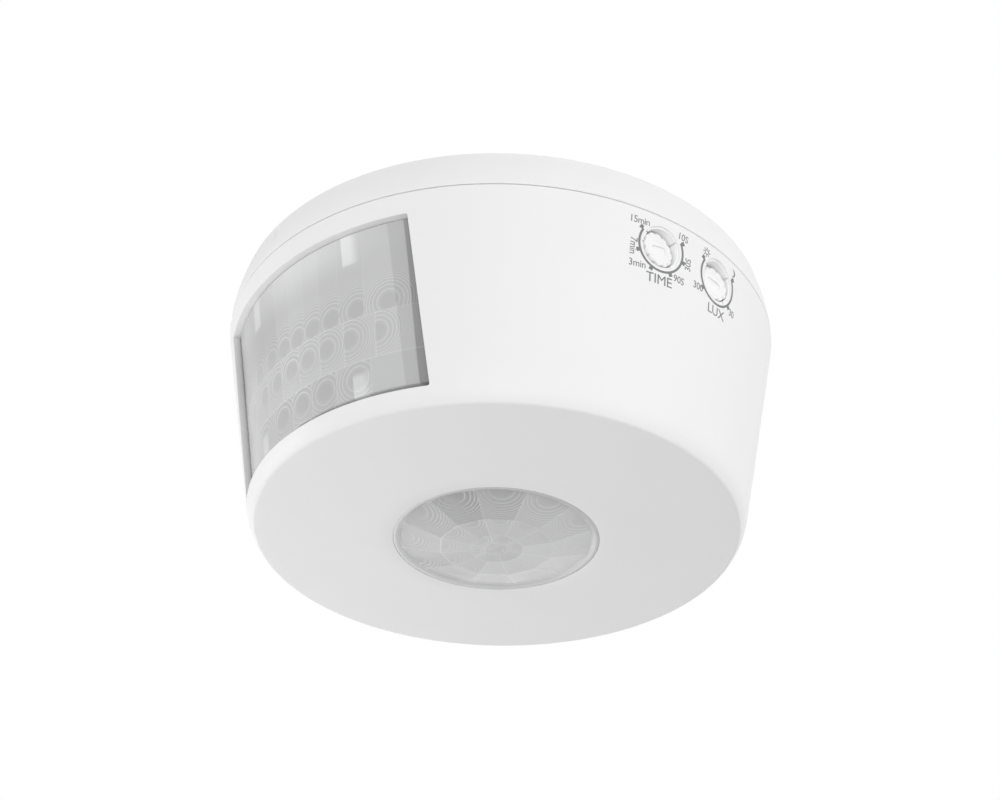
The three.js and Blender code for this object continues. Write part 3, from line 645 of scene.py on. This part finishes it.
def cover_posts():
    """Screw posts standing inside the head, and the ring that locates the bottom lens."""
    foot = FLOOR_Z - 0.3
    inner, outer, ring_top, chamfer = 28.4, 30.0, -50.2, 0.2
    shape = lathe([(inner, foot), (outer, foot), (outer, ring_top - chamfer), (outer - chamfer, ring_top),
                   (inner + chamfer, ring_top), (inner, ring_top - chamfer)])
    for radius, turn, top in POSTS:
        post = lathe([(0, foot), (2.0, foot), (2.3, FLOOR_Z), (3.0, FLOOR_Z + 2.6), (3.0, top - 0.3),
                      (2.7, top), (1.95, top), (1.65, top - 0.3), (1.65, top - 9.5), (0, top - 9.5)],
                     48, closed=False)
        shape.join(post, Matrix.Translation(around(turn, radius, 0)))
    return shape


# the middle and half width of each rib in degrees, and how far it stands out
WELL_RIBS = ((-7, 42, 0.4), (91, 51, 0.33), (163, 14, 0.4), (244, 61.5, 0.33))


def dial_wells():
    """A sleeve behind each dial hole: a ledge round the knob, and a wall of low ribs with grooves between."""
    shaft_hole, recess, outside = 2.3, 4.1, 5.6
    shape = Shape()
    for dial in DIALS:
        grip = GRIP[dial]
        front = math.sqrt(cone_radius(grip.z, WALL) ** 2 - grip.y ** 2) - 0.9
        ledge, floor = grip.x - 1.0, grip.x - 1.5
        back = floor - 2.2
        turned = lathe([(shaft_hole, floor), (recess, floor), (recess, ledge), (DIAL_HOLE_RADIUS, ledge),
                        (DIAL_HOLE_RADIUS, front), (outside, front), (outside, back), (shaft_hole, back)], 72)
        for middle, half, proud in WELL_RIBS:
            turned.join(well_rib(middle, half, proud, ledge, grip))
        shape.join(turned, facing_knobs(grip))
    return shape


def well_rib(middle, half, proud, ledge, grip):
    """A rib along a dial well's wall, up to just under the head's surface."""
    reach, inner = DIAL_HOLE_RADIUS + 0.2, DIAL_HOLE_RADIUS - proud
    steps = 12
    rings = []
    for k in range(steps + 1):
        a = math.radians(middle - half + 2 * half * k / steps)
        y, z = grip.y + inner * math.cos(a), grip.z + inner * math.sin(a)
        front = on_side(y, z, "knobs", 0.35).x
        corners = ((inner, ledge - 0.2), (reach, ledge - 0.2), (reach, front), (inner, front))
        rings.append([(r * math.cos(a), r * math.sin(a), x) for r, x in corners])
    return capped_bar(rings)


# ---- Fresnel lenses

GROOVE = 0.08               # the greatest depth of a zone's groove
LINE_WIDTH = 0.095          # of the painted highlight line at a zone's edge
DISC_TONE = -0.22           # the plain disc inside the first line
FINEST_PITCH, FULL_PITCH = 0.12, 0.57    # where the zones start to show, and where they show fully


def smooth(start, end, value):
    t = min(1.0, max(0.0, (value - start) / (end - start)))
    return t * t * (3 - 2 * t)


def zone(distance, first):
    """Groove depth, and the painted highlight line at each edge, of zones that grow finer outwards."""
    order = (distance / first) ** 2
    phase = order - math.floor(order)
    pitch = first * first / (2 * max(distance, 0.5 * first))
    ripple = min(phase, 1 - phase) * pitch
    line = math.exp(-(ripple / LINE_WIDTH) ** 2) if order > 0.5 else DISC_TONE
    strength = min(1.0, max(0.0, (pitch - FINEST_PITCH) / (FULL_PITCH - FINEST_PITCH)))
    return phase * GROOVE * strength, line * strength


# each row's lowest z, cell borders and zone centres as angles from the window's direction, height of the
# zone centres, radius of the first zone, and tone
SIDE_ROWS = [
    {"low": -33.0, "edges": (2.35, 7.3, 12.6, 18.9), "centres": (0, 5.0, 10.4, 17.0, 24.6), "z": -31.2,
     "first": 2.45, "tone": 0.56},
    {"low": -42.5, "edges": (0.0, 6.65, 13.5, 21.4), "centres": (0, 2.9, 8.6, 14.9, 21.9), "z": -37.2,
     "first": 2.4, "tone": 0.575},
    {"low": -60.0, "edges": (3.4, 10.9, 20.0), "centres": (0, 7.5, 16.6, None), "z": -46.0,
     "first": 2.6, "tone": 0.54},
]


def side_cell(x, z):
    """Depth and tone of the side lens at a place on it."""
    r = side_radius(z, PANE["front"])
    turn = abs(math.degrees(math.asin(x / r)))
    row = next(row for row in SIDE_ROWS if z > row["low"])
    index = sum(turn > edge for edge in row["edges"])
    middle = row["centres"][index]
    across_edge = min(abs(turn - edge) for edge in row["edges"]) * math.radians(1) * r
    border = min(across_edge, *[abs(z - other["low"]) for other in SIDE_ROWS])
    tone = row["tone"] + 0.02 * math.sin(5.1 * index + 2.0 * len(row["edges"]))
    if middle is None:
        sink, line = 0.0, 0.0
        tone += 0.04
    else:
        across = (turn - middle) * math.radians(1) * r
        sink, line = zone(math.hypot(across, z - row["z"]), row["first"])
        sink *= 0.5
    border_tone = 0.04 if row is SIDE_ROWS[0] else 0.1
    # painted highlights: the zone lines, fainter towards the left end
    tone += (0.18 - 0.06 * smooth(0.0, -20.0, x)) * line + border_tone * math.exp(-(border / 0.1) ** 2)
    return sink, tone + side_shade(x, z)


def side_shade(x, z):
    """Soft light and shade over the side lens: pale at the top, with the window's shade down both ends."""
    top_glow = 0.21 - 0.16 * smooth(5.0, 25.0, x) - 0.12 * smooth(-6.0, -20.0, x)
    upper_left, right_strip = 0.1, 0.1
    right_end, left_end = 0.26, 0.4
    right_edge = 27.35 - 0.65 * smooth(-16.0, -50.0, z)
    shade = top_glow * smooth(-24.0, -15.0, z)
    shade -= upper_left * smooth(0.0, -12.0, x) * smooth(-32.0, -26.0, z)
    shade -= right_strip * smooth(24.1, 24.3, x)
    shade -= right_end * smooth(right_edge - 0.1, right_edge + 0.1, x)
    shade -= left_end * smooth(-27.1, -27.6, x)
    return shade + finger_glow(x, z)


def finger_glow(x, z):
    """Painted light: the glow of the retainer's white fingers where they touch the milky pane's back, as they
    would show through it.
    """
    half, off = FINGER["half"], abs(x) - FINGER["x"]
    if x > 0:
        beside = 0.25 * smooth(-half - 0.15, -half + 0.1, off) * smooth(2.9, 0.4, off)
    else:
        beside = 0.2 * smooth(half + 1.0, half - 0.8, abs(off))
    upper = smooth(FINGER["upper"] - 0.5, FINGER["upper"] + 0.5, z)
    lower = smooth(FINGER["lower"] + 0.9, FINGER["lower"] - 0.9, z)
    return beside * max(upper, lower)


def side_pane():
    """The side lens's pane, its front face a fine grid and its back plain."""
    columns, rows = 387, 228
    edge_sink, back_tone = 0.2, 0.4
    xs = np.linspace(-PANE["half"], PANE["half"], columns + 1)
    zs = np.linspace(PANE["bottom"], PANE["top"], rows + 1)
    verts, tones = [], []
    for j, z in enumerate(zs):
        for i, x in enumerate(xs):
            rim = i in (0, columns) or j == 0
            sink, tone = side_cell(x, z)
            r = side_radius(z, PANE["front"] + (edge_sink if rim else sink))
            verts.append((x, -math.sqrt(r * r - x * x), z))
            tones.append(tone)
    wide = columns + 1
    faces = [(j * wide + i, j * wide + i + 1, (j + 1) * wide + i + 1, (j + 1) * wide + i)
             for j in range(rows) for i in range(columns)]
    shape = Shape().add(verts, faces, tones)
    low = list(range(wide))
    high = [rows * wide + i for i in range(wide)]
    left = [j * wide for j in range(rows + 1)]
    right = [j * wide + columns for j in range(rows + 1)]

    def behind(index):
        x, _, z = shape.verts[index]
        return on_side(x, z, "front", PANE["back"])

    start = len(shape.verts)
    back_low = [start + i for i in range(wide)]
    back_high = [start + wide + i for i in range(wide)]
    shape.add([behind(i) for i in low + high], [], [back_tone] * (2 * wide))
    for i in range(columns):
        shape.faces.append((back_low[i], back_low[i + 1], back_high[i + 1], back_high[i]))
        shape.faces.append((low[i], low[i + 1], back_low[i + 1], back_low[i]))
        shape.faces.append((high[i + 1], high[i], back_high[i], back_high[i + 1]))
    shape.faces.append((*left, back_high[0], back_low[0]))
    shape.faces.append((*reversed(right), back_low[-1], back_high[-1]))
    return shape


def evenly(low, high, step):
    """Evenly spaced places between two ends, about a step apart."""
    return list(np.linspace(low, high, max(2, round((high - low) / step) + 1)))


def side_flange():
    """The side lens's flange: a frame that follows the head's cone, against its inside."""
    half, bottom, top = 32.5, -52.3, -12.4
    # the flange's tone is darker than the pane's: painted shade for the gap seen beside the pane's ends
    front, back, tone = 2.55, 3.45, 0.32
    opening_half, low, high = 25.8, PANE["bottom"] + 1.4, PANE["top"] - 1.3
    xs = [*evenly(-half, -opening_half, 1.2)[:-1], *evenly(-opening_half, opening_half, 1.2)[:-1],
          *evenly(opening_half, half, 1.2)]
    zs = [*evenly(bottom, low, 1.2)[:-1], *evenly(low, high, 4)[:-1], *evenly(high, top, 1.2)]
    wide, layer = len(xs), len(xs) * len(zs)
    shape = Shape()
    for depth in (front, back):
        for z in zs:
            r = cone_radius(z, depth)
            shape.add([(x, -math.sqrt(r * r - x * x), z) for x in xs], [], [tone] * wide)

    def kept(i, j):
        if not (0 <= i < wide - 1 and 0 <= j < len(zs) - 1):
            return False
        x, z = (xs[i] + xs[i + 1]) / 2, (zs[j] + zs[j + 1]) / 2
        return abs(x) > opening_half or not low < z < high

    for j in range(len(zs) - 1):
        for i in range(wide - 1):
            if not kept(i, j):
                continue
            corners = [j * wide + i, j * wide + i + 1, (j + 1) * wide + i + 1, (j + 1) * wide + i]
            shape.faces += [tuple(corners), tuple(layer + c for c in reversed(corners))]
            beside = [(i, j - 1), (i + 1, j), (i, j + 1), (i - 1, j)]
            for k, (ni, nj) in enumerate(beside):
                if not kept(ni, nj):
                    a, b = corners[k], corners[(k + 1) % 4]
                    shape.faces.append((b, a, layer + a, layer + b))
    return shape


# the bottom lens: twelve outer facets, a ring of twelve cells on the same borders, and a middle group
CELLS = 12
CELL_TURN = 6.0
INNER_CELLS = 6
INNER_RING = 5.7
CENTRE_CELL = 2.5
CHORD = DOME_BREAK[0] * math.cos(math.pi / CELLS)
OUTER_SLOPE = (DOME_VALLEY[1] - DOME_BREAK[1]) / (DOME_VALLEY[0] * math.cos(math.pi / CELLS) - CHORD)
INNER_Z = DOME_BREAK[1] - 0.25


def cell_of(angle, cells, turn):
    """The middle direction of the cell at an angle, and how far the angle is from the cell's edge."""
    place = (angle - turn) / (360 / cells)
    index = math.floor(place)
    off = place - index - 0.5
    return index, math.radians(turn + 360 / cells * (index + 0.5)), off * 2 * math.pi / cells


def dome_cell(x, y):
    """The cell under a place on the bottom lens: its part of the lens, its number and middle direction, the
    height of its face, and how far the place is from the cell's border."""
    r = math.hypot(x, y)
    angle = math.degrees(math.atan2(x, -y))
    index, middle, off = cell_of(angle, CELLS, CELL_TURN)
    chord = r * math.cos(off)
    border = (math.pi / CELLS - abs(off)) * r
    if chord > CHORD + 0.01:
        z = DOME_BREAK[1] + (chord - CHORD) * OUTER_SLOPE
        return "outer", index, middle, z, min(border, chord - CHORD)
    if r > INNER_RING:
        z = INNER_Z + (DOME_BREAK[1] - INNER_Z) * (chord - INNER_RING) / (CHORD - INNER_RING)
        return "ring", index, middle, z, min(border, CHORD - chord, r - INNER_RING)
    z = INNER_Z - 0.1 * (INNER_RING - r) / INNER_RING
    if r > CENTRE_CELL:
        index, middle, off = cell_of(angle, INNER_CELLS, CELL_TURN + 30)
        border = min((math.pi / INNER_CELLS - abs(off)) * r, INNER_RING - r, r - CENTRE_CELL)
        return "inner", index, middle, z, border
    return "centre", index, 0.0, z, CENTRE_CELL - r


# the distance of each part's zone centres from the axis, and the radius of the first zone
DOME_ZONES = {"outer": (20.0, 2.7), "ring": (11.5, 1.9), "inner": (4.6, 1.5), "centre": (0.0, 1.6)}


def dome_tone(part, middle):
    """A cell's tone: painted shade towards the window and the knobs, painted light on the other sides."""
    if part == "outer":
        side_light = 0.14 * max(0.0, math.cos(middle - 2.3))
        far_light = 0.13 * max(0.0, -math.cos(middle - 0.85))
        return 0.515 - 0.134 * math.cos(middle) + side_light + far_light
    if part == "ring":
        return 0.665 - 0.1 * math.cos(middle)
    return 0.66 if part == "inner" else 0.65


def dome_surface(x, y):
    """Height of the bottom lens's face, with grooves, and its tone, with painted highlights on the zone lines
    and painted light and shade round the rim.
    """
    r = math.hypot(x, y)
    part, index, middle, z, border = dome_cell(x, y)
    centre, first = DOME_ZONES[part]
    sink, line = zone(math.hypot(x - centre * math.sin(middle), y + centre * math.cos(middle)), first)
    if part != "outer":
        sink *= 0.3
        line *= 0.6
    if line < 0:
        line *= 0.3
    flank = DOME_VALLEY[1] + (DOME_VALLEY[0] - r) * 0.46
    facets = smooth(0.0, 0.35, flank - z)
    # painted highlights on the zone lines, stronger towards one side of the lens
    line_light = 0.6 if part == "centre" else 0.6 + 0.4 * math.cos(middle - 1.0)
    tone = dome_tone(part, middle) - 0.025 * math.sin(4.3 * index + 1.0)
    tone += (0.2 * line * line_light + 0.08 * math.exp(-(border / 0.12) ** 2)) * facets
    # painted light and shade round the rim band, lighter on one side than the other
    rim_light_and_shade = 0.7 + 0.1 * math.cos(math.atan2(x, -y) + math.radians(87))
    tone += (rim_light_and_shade - tone) * smooth(DOME_VALLEY[0] - 0.35, DOME_VALLEY[0] - 0.05, r)
    return min(z + sink * facets, flank), tone


def bottom_lens():
    """Facets falling from a shallow groove inside the rim to a nearly flat middle."""
    rings, sides = 140, 600
    thick, back_tone = 1.1, 0.66
    lip_r, lip_z = DOME_LIP
    break_ring = round(rings * CHORD / lip_r)
    verts, tones = [(0, 0, dome_surface(0, 0)[0])], [0.5]
    for j in range(1, rings + 1):
        if j <= break_ring:
            reach = CHORD * j / break_ring
        else:
            reach = CHORD + (lip_r - CHORD) * (j - break_ring) / (rings - break_ring)
        facet = smooth(INNER_RING, 9.0, reach) * smooth(DOME_VALLEY[0], 17.0, reach)
        for k in range(sides):
            off = cell_of(360 * k / sides, CELLS, CELL_TURN)[2]
            r = reach * (1 + facet * (1 / math.cos(off) - 1))
            x, y, _ = around(360 * k / sides, r, 0)
            z, tone = dome_surface(x, y)
            crest = min(1.0, max(0.0, (r - DOME_VALLEY[0]) / (lip_r - DOME_VALLEY[0])))
            verts.append((x, y, z * (1 - crest) + lip_z * crest))
            tones.append(tone)
    flange_low, flange_high = FLOOR_Z + 0.3, FLOOR_Z + 1.5
    round_off = DOME_RADIUS - lip_r
    profile = arc(lip_r, lip_z + round_off, round_off, -60, 0, 4)
    profile += [(DOME_RADIUS, flange_low), (LENS_FLANGE_RADIUS, flange_low),
                (LENS_FLANGE_RADIUS, flange_high), (DOME_RADIUS - 1.5, flange_high),
                (DOME_VALLEY[0] - 0.4, DOME_VALLEY[1] + thick), (DOME_BREAK[0] - 0.2, DOME_BREAK[1] + thick),
                (INNER_RING, INNER_Z + thick)]
    for r, z in profile:
        verts += [around(360 * k / sides, r, z) for k in range(sides)]
        tones += [back_tone] * sides
    verts.append((0, 0, INNER_Z + thick - 0.05))
    tones.append(0.5)
    faces = [(0, 1 + k, 1 + (k + 1) % sides) for k in range(sides)]
    total = rings + len(profile)
    for j in range(total - 1):
        here, there = 1 + j * sides, 1 + (j + 1) * sides
        for k in range(sides):
            m = (k + 1) % sides
            faces.append((here + k, there + k, there + m, here + m))
    last, tip = 1 + (total - 1) * sides, len(verts) - 1
    faces += [(last + k, tip, last + (k + 1) % sides) for k in range(sides)]
    return Shape().add(verts, faces, tones)


# ---- knobs and dial prints

def knob(joint, slot_angle):
    """A scalloped knob with rounded edges and a screwdriver slot, facing +X."""
    lobes, sides = 12, 192
    skirt, edge = -1.2, 0.35
    slot_half_length, slot_half_width, slot_corner, slot_floor = 1.95, 0.7, 0.6, -0.36
    shaft_radius, shaft_end, chamfer = 1.6, -8.5, 0.3
    turns = [2 * math.pi * i / sides for i in range(sides)]
    outline = [(a, KNOB_RADIUS - 0.3 + 0.4 * abs(math.cos(lobes * a / 2)) ** 0.7) for a in turns]
    profile = [(0.0, skirt), (0.0, -edge)]
    profile += [(edge * (1 - math.cos(t)), -edge + edge * math.sin(t)) for t in (0.4, 0.8, 1.2, math.pi / 2)]
    rings = [[((r - shrink) * math.cos(a), (r - shrink) * math.sin(a), height) for a, r in outline]
             for shrink, height in profile]
    shape = tube_of_rings(rings)
    front = np.array([p[:2] for p in rings[-1]])
    cos, sin = math.cos(math.radians(slot_angle)), math.sin(math.radians(slot_angle))
    slot = rounded_outline(slot_half_length, -slot_half_width, slot_half_width, slot_corner, 0.4)
    slot = np.array([(u * cos - v * sin, u * sin + v * cos) for (u, v), _ in slot])
    grid = [(i * 0.35, j * 0.35) for i in range(-12, 13) for j in range(-12, 13)]
    flat, faces = filled(grid, [slot], front, 0.2)

    def dish(x, y):
        r = math.hypot(x, y)
        return -0.16 * smooth(1.0, 3.2, r) + 0.16 * smooth(2.8, 3.4, r)

    shape.add([(x, y, dish(x, y)) for x, y in flat], faces)
    lips = [[(x, y, dish(x, y)) for x, y in slot], [(x, y, slot_floor) for x, y in slot]]
    shape.join(tube_of_rings(lips))
    shape.add(lips[1], [tuple(range(len(slot)))])
    shape.add(rings[0], [tuple(range(len(outline)))])
    shape.join(lathe([(0, -1.0), (shaft_radius, -1.0), (shaft_radius, shaft_end + chamfer),
                      (shaft_radius - chamfer, shaft_end), (0, shaft_end)], 48, closed=False))
    return Shape().join(shape, facing_knobs(GRIP[joint], GRIP[joint].x))


INK = 0.03                  # how far the ink stands out


def printed(strips, grip):
    """Strips of (u, v) points round a dial's middle, wrapped on the head's side as thin raised ink."""
    shape = Shape()
    for ring, faces in strips:
        verts = []
        for lift in (INK, -INK):
            verts += [on_side(grip.y + u, grip.z + v, "knobs", -lift) for u, v in ring]
        shape.add(verts, faces)
    return shape


def ink_strip(left, right):
    """A closed strip between two lines of (u, v) points."""
    count = len(left)
    total = 2 * count
    faces = []
    for i in range(count - 1):
        quad = (i, i + 1, count + i + 1, count + i)
        faces += [quad, tuple(total + q for q in reversed(quad))]
    for i in range(count - 1):
        faces.append((i + 1, i, total + i, total + i + 1))
        faces.append((count + i, count + i + 1, total + count + i + 1, total + count + i))
    faces.append((0, count, total + count, total))
    faces.append((2 * count - 1, count - 1, total + count - 1, total + 2 * count - 1))
    return left + right, faces


def ink_arc(inner, outer, start, end, steps):
    return ink_strip(arc(0, 0, inner, start, end, steps), arc(0, 0, outer, start, end, steps))


def dial_scale(joint, start, end, ticks):
    """The arc round a dial hole and its tick marks, angles in degrees."""
    half = 4.2
    strips = [ink_arc(5.1, 5.58, start, end, 60)]
    strips += [ink_arc(5.5, 6.25, tick - half, tick + half, 6) for tick in ticks]
    return printed(strips, GRIP[joint])


def lettering(joint, text, place, turn, size=2.2, stretch=0.92, spacing=0.97):
    """Words or numbers in ink, centred at a place beside a dial."""
    curve = bpy.data.curves.new("ink", "FONT")
    curve.body = text
    curve.size = size
    curve.align_x = "CENTER"
    curve.align_y = "CENTER"
    curve.extrude = INK
    curve.resolution_u = 3
    curve.space_character = spacing
    made = bpy.data.objects.new("ink", curve)
    link(made)
    bpy.context.view_layer.update()
    mesh = bpy.data.meshes.new_from_object(made.evaluated_get(bpy.context.evaluated_depsgraph_get()))
    u, v = GRIP[joint].y + place[0], GRIP[joint].z + place[1]
    cos, sin = math.cos(math.radians(turn)), math.sin(math.radians(turn))
    verts = []
    for vertex in mesh.vertices:
        x, y, z = vertex.co
        x *= stretch
        verts.append(on_side(u + x * cos - y * sin, v + x * sin + y * cos, "knobs", -z))
    shape = Shape().add(verts, [tuple(p.vertices) for p in mesh.polygons])
    bpy.data.objects.remove(made)
    bpy.data.curves.remove(curve)
    bpy.data.meshes.remove(mesh)
    return shape


def sun_mark(joint, u, v):
    """A small ring with eight rays."""
    strips = [ink_arc(0.42, 0.6, 0, 359, 24)]
    for a in range(0, 360, 45):
        strips.append(ink_strip(arc(0, 0, 0.75, a - 8, a + 8, 2), arc(0, 0, 1.05, a - 6, a + 6, 2)))
    moved = [([(u + x, v + y) for x, y in ring], faces) for ring, faces in strips]
    return printed(moved, GRIP[joint])


def moon_mark(joint, u, v):
    """A small crescent."""
    outer = [(u + x, v + y) for x, y in arc(0, 0, 0.85, -100, 100, 20)]
    inner = [(u + 0.75 * x - 0.35, v + 0.85 * y) for x, y in arc(0, 0, 1.0, -100, 100, 20)]
    return printed([ink_strip(inner, outer)], GRIP[joint])


def dial_prints():
    """All the ink round the two dials."""
    time, lux = DIALS
    shape = dial_scale(time, 32, -208, (30, -12, -62, -110, -156, -209))
    for text, place, turn in (("10S", (4.95, 4.3), -4), ("30S", (7.05, -1.0), 92), ("90S", (5.0, -5.4), 0),
                              ("3min", (-5.15, -5.6), 5), ("7min", (-6.5, -2.0), -88)):
        shape.join(lettering(time, text, place, turn))
    shape.join(lettering(time, "15min", (-5.7, 4.05), 3, spacing=0.92))
    shape.join(lettering(time, "TIME", (0.25, -7.35), 5, 3.0, 1.02))
    shape.join(dial_scale(lux, 32, -210, (30, -42, -140, -210)))
    shape.join(lettering(lux, "300", (-5.8, -4.3), 2)).join(lettering(lux, "30", (5.7, -4.6), 0))
    shape.join(lettering(lux, "LUX", (0.35, -7.1), 3, 2.95, 1.03))
    shape.join(sun_mark(lux, -4.3, 4.45))
    shape.join(moon_mark(lux, 4.9, 4.5))
    return shape


# ---- scene

def camera():
    """The photograph's view: from below, a little to the knobs' side of the window."""
    azimuth, elevation, yaw, pitch, roll = map(math.radians, (48.5, -32.865, 0.019, 0.821, 1.235))
    centre, distance, focal = Vector((0, 0, -0.028)), 0.4213, 69.64
    back = Vector((math.sin(azimuth) * math.cos(elevation), -math.cos(azimuth) * math.cos(elevation),
                   math.sin(elevation)))
    right = Vector((math.cos(azimuth), math.sin(azimuth), 0))
    up = back.cross(right)
    ahead = (-back * math.cos(yaw) * math.cos(pitch) + right * math.sin(yaw) * math.cos(pitch)
             + up * math.sin(pitch))
    side = ahead.cross(Vector((0, 0, 1))).normalized()
    over = side.cross(ahead)
    rolled_side = side * math.cos(roll) + over * math.sin(roll)
    rolled_over = over * math.cos(roll) - side * math.sin(roll)
    data = bpy.data.cameras.new("camera")
    data.lens = focal
    data.sensor_width = 36
    data.clip_start = 0.01
    made = bpy.data.objects.new("camera", data)
    turn = Matrix((rolled_side, rolled_over, -ahead)).transposed()
    made.matrix_world = Matrix.Translation(centre + back * distance) @ turn.to_4x4()
    link(made)
    bpy.context.scene.camera = made


SKY_LEVEL = 1.33
SKY_SLOPE = (-0.02, 0.5, -0.6)


def world():
    """Soft studio surround: a white backdrop to the eye, and light that changes slowly with direction."""
    made = bpy.data.worlds.new("studio")
    made.use_nodes = True
    nodes, links = made.node_tree.nodes, made.node_tree.links
    nodes.clear()
    where = new_node(nodes, "TexCoord")
    slope = new_node(nodes, "VectorMath")
    slope.operation = "DOT_PRODUCT"
    slope.inputs[1].default_value = SKY_SLOPE
    links.new(where.outputs["Generated"], slope.inputs[0])
    level = new_node(nodes, "Math")
    level.inputs[1].default_value = SKY_LEVEL
    links.new(slope.outputs["Value"], level.inputs[0])
    light = new_node(nodes, "Background")
    links.new(level.outputs["Value"], light.inputs["Strength"])
    backdrop = new_node(nodes, "Background", Strength=1.0, Color=(1, 1, 1, 1))
    seen = new_node(nodes, "LightPath")
    mix = new_node(nodes, "MixShader")
    links.new(seen.outputs["Is Camera Ray"], mix.inputs["Fac"])
    links.new(light.outputs["Background"], mix.inputs[1])
    links.new(backdrop.outputs["Background"], mix.inputs[2])
    out = new_node(nodes, "OutputWorld")
    links.new(mix.outputs["Shader"], out.inputs["Surface"])
    bpy.context.scene.world = made


LAMP_WIDTH = 0.5


def lamp(name, turn, elevation, distance, watts):
    """A round soft lamp aimed at the sensor, its turn measured from the window towards the knobs."""
    data = bpy.data.lights.new(name, "AREA")
    data.shape = "DISK"
    data.size = LAMP_WIDTH
    data.energy = watts
    made = bpy.data.objects.new(name, data)
    flat = distance * math.cos(math.radians(elevation))
    out = Vector(around(turn, flat, distance * math.sin(math.radians(elevation))))
    made.location = out + Vector((0, 0, -0.03))
    made.rotation_euler = out.to_track_quat("Z", "Y").to_euler()
    made.visible_camera = False
    link(made)


def floor():
    """A plain pale floor well below the sensor, which hangs."""
    radius, low, sides = 8.0, -0.75, 96
    mesh = bpy.data.meshes.new("floor")
    mesh.from_pydata([around(360 * k / sides, radius, low) for k in range(sides)], [], [tuple(range(sides))])
    made = bpy.data.objects.new("floor", mesh)
    mesh.materials.append(moulded("pale_floor", (0.63, 0.63, 0.63), (0.6, 0.7), 0.004, 1e-5))
    link(made)


camera()
world()
lamp("lamp_behind", 260, -35, 0.6, 1.15)
lamp("lamp_left", -50, 0, 1.0, 2.8)
lamp("lamp_front", 48, -10, 1.0, 3.0)
lamp("lamp_knobs", 95, -5, 1.0, 0.8)
floor()
bpy.context.scene.view_settings.view_transform = "Standard"

for entry in frame["record"]["subparts"]:
    node = frame["nodes"][entry["node"]]
    node.data.materials.clear()
    node.data.materials.append(SLOT_MATERIALS[entry["material_slot"]])

build("base_shell", mounting_base(), "base", replaces=["mounting_base"])
build("base_hooks", base_hooks(), "base")
build("screw_pads", screw_pads(), "base")
build("grommet", grommet(), "base", "rubber", ["cable_grommet"])
build("cover_shell", housing_cover(), "head", replaces=["housing_cover"])
build("cover_lugs", cover_lugs(), "head")
build("cover_posts", cover_posts(), "head")
build("dial_wells", dial_wells(), "head", surface=LIGHTENED_WELL)
build("side_lens_pane", side_pane(), "head", "lens_plastic", ["side_lens"], 60)
build("side_lens_flange", side_flange(), "head", "lens_plastic")
build("bottom_lens_dome", bottom_lens(), "head", "lens_plastic", ["bottom_lens"], 60)
build("time_knob_fine", knob(DIALS[0], 15), "time_knob_body", "knob_plastic", ["time_knob"])
build("lux_knob_fine", knob(DIALS[1], -8), "lux_knob_body", "knob_plastic", ["lux_knob"])
build("dial_prints", dial_prints(), "head", "dial_print")
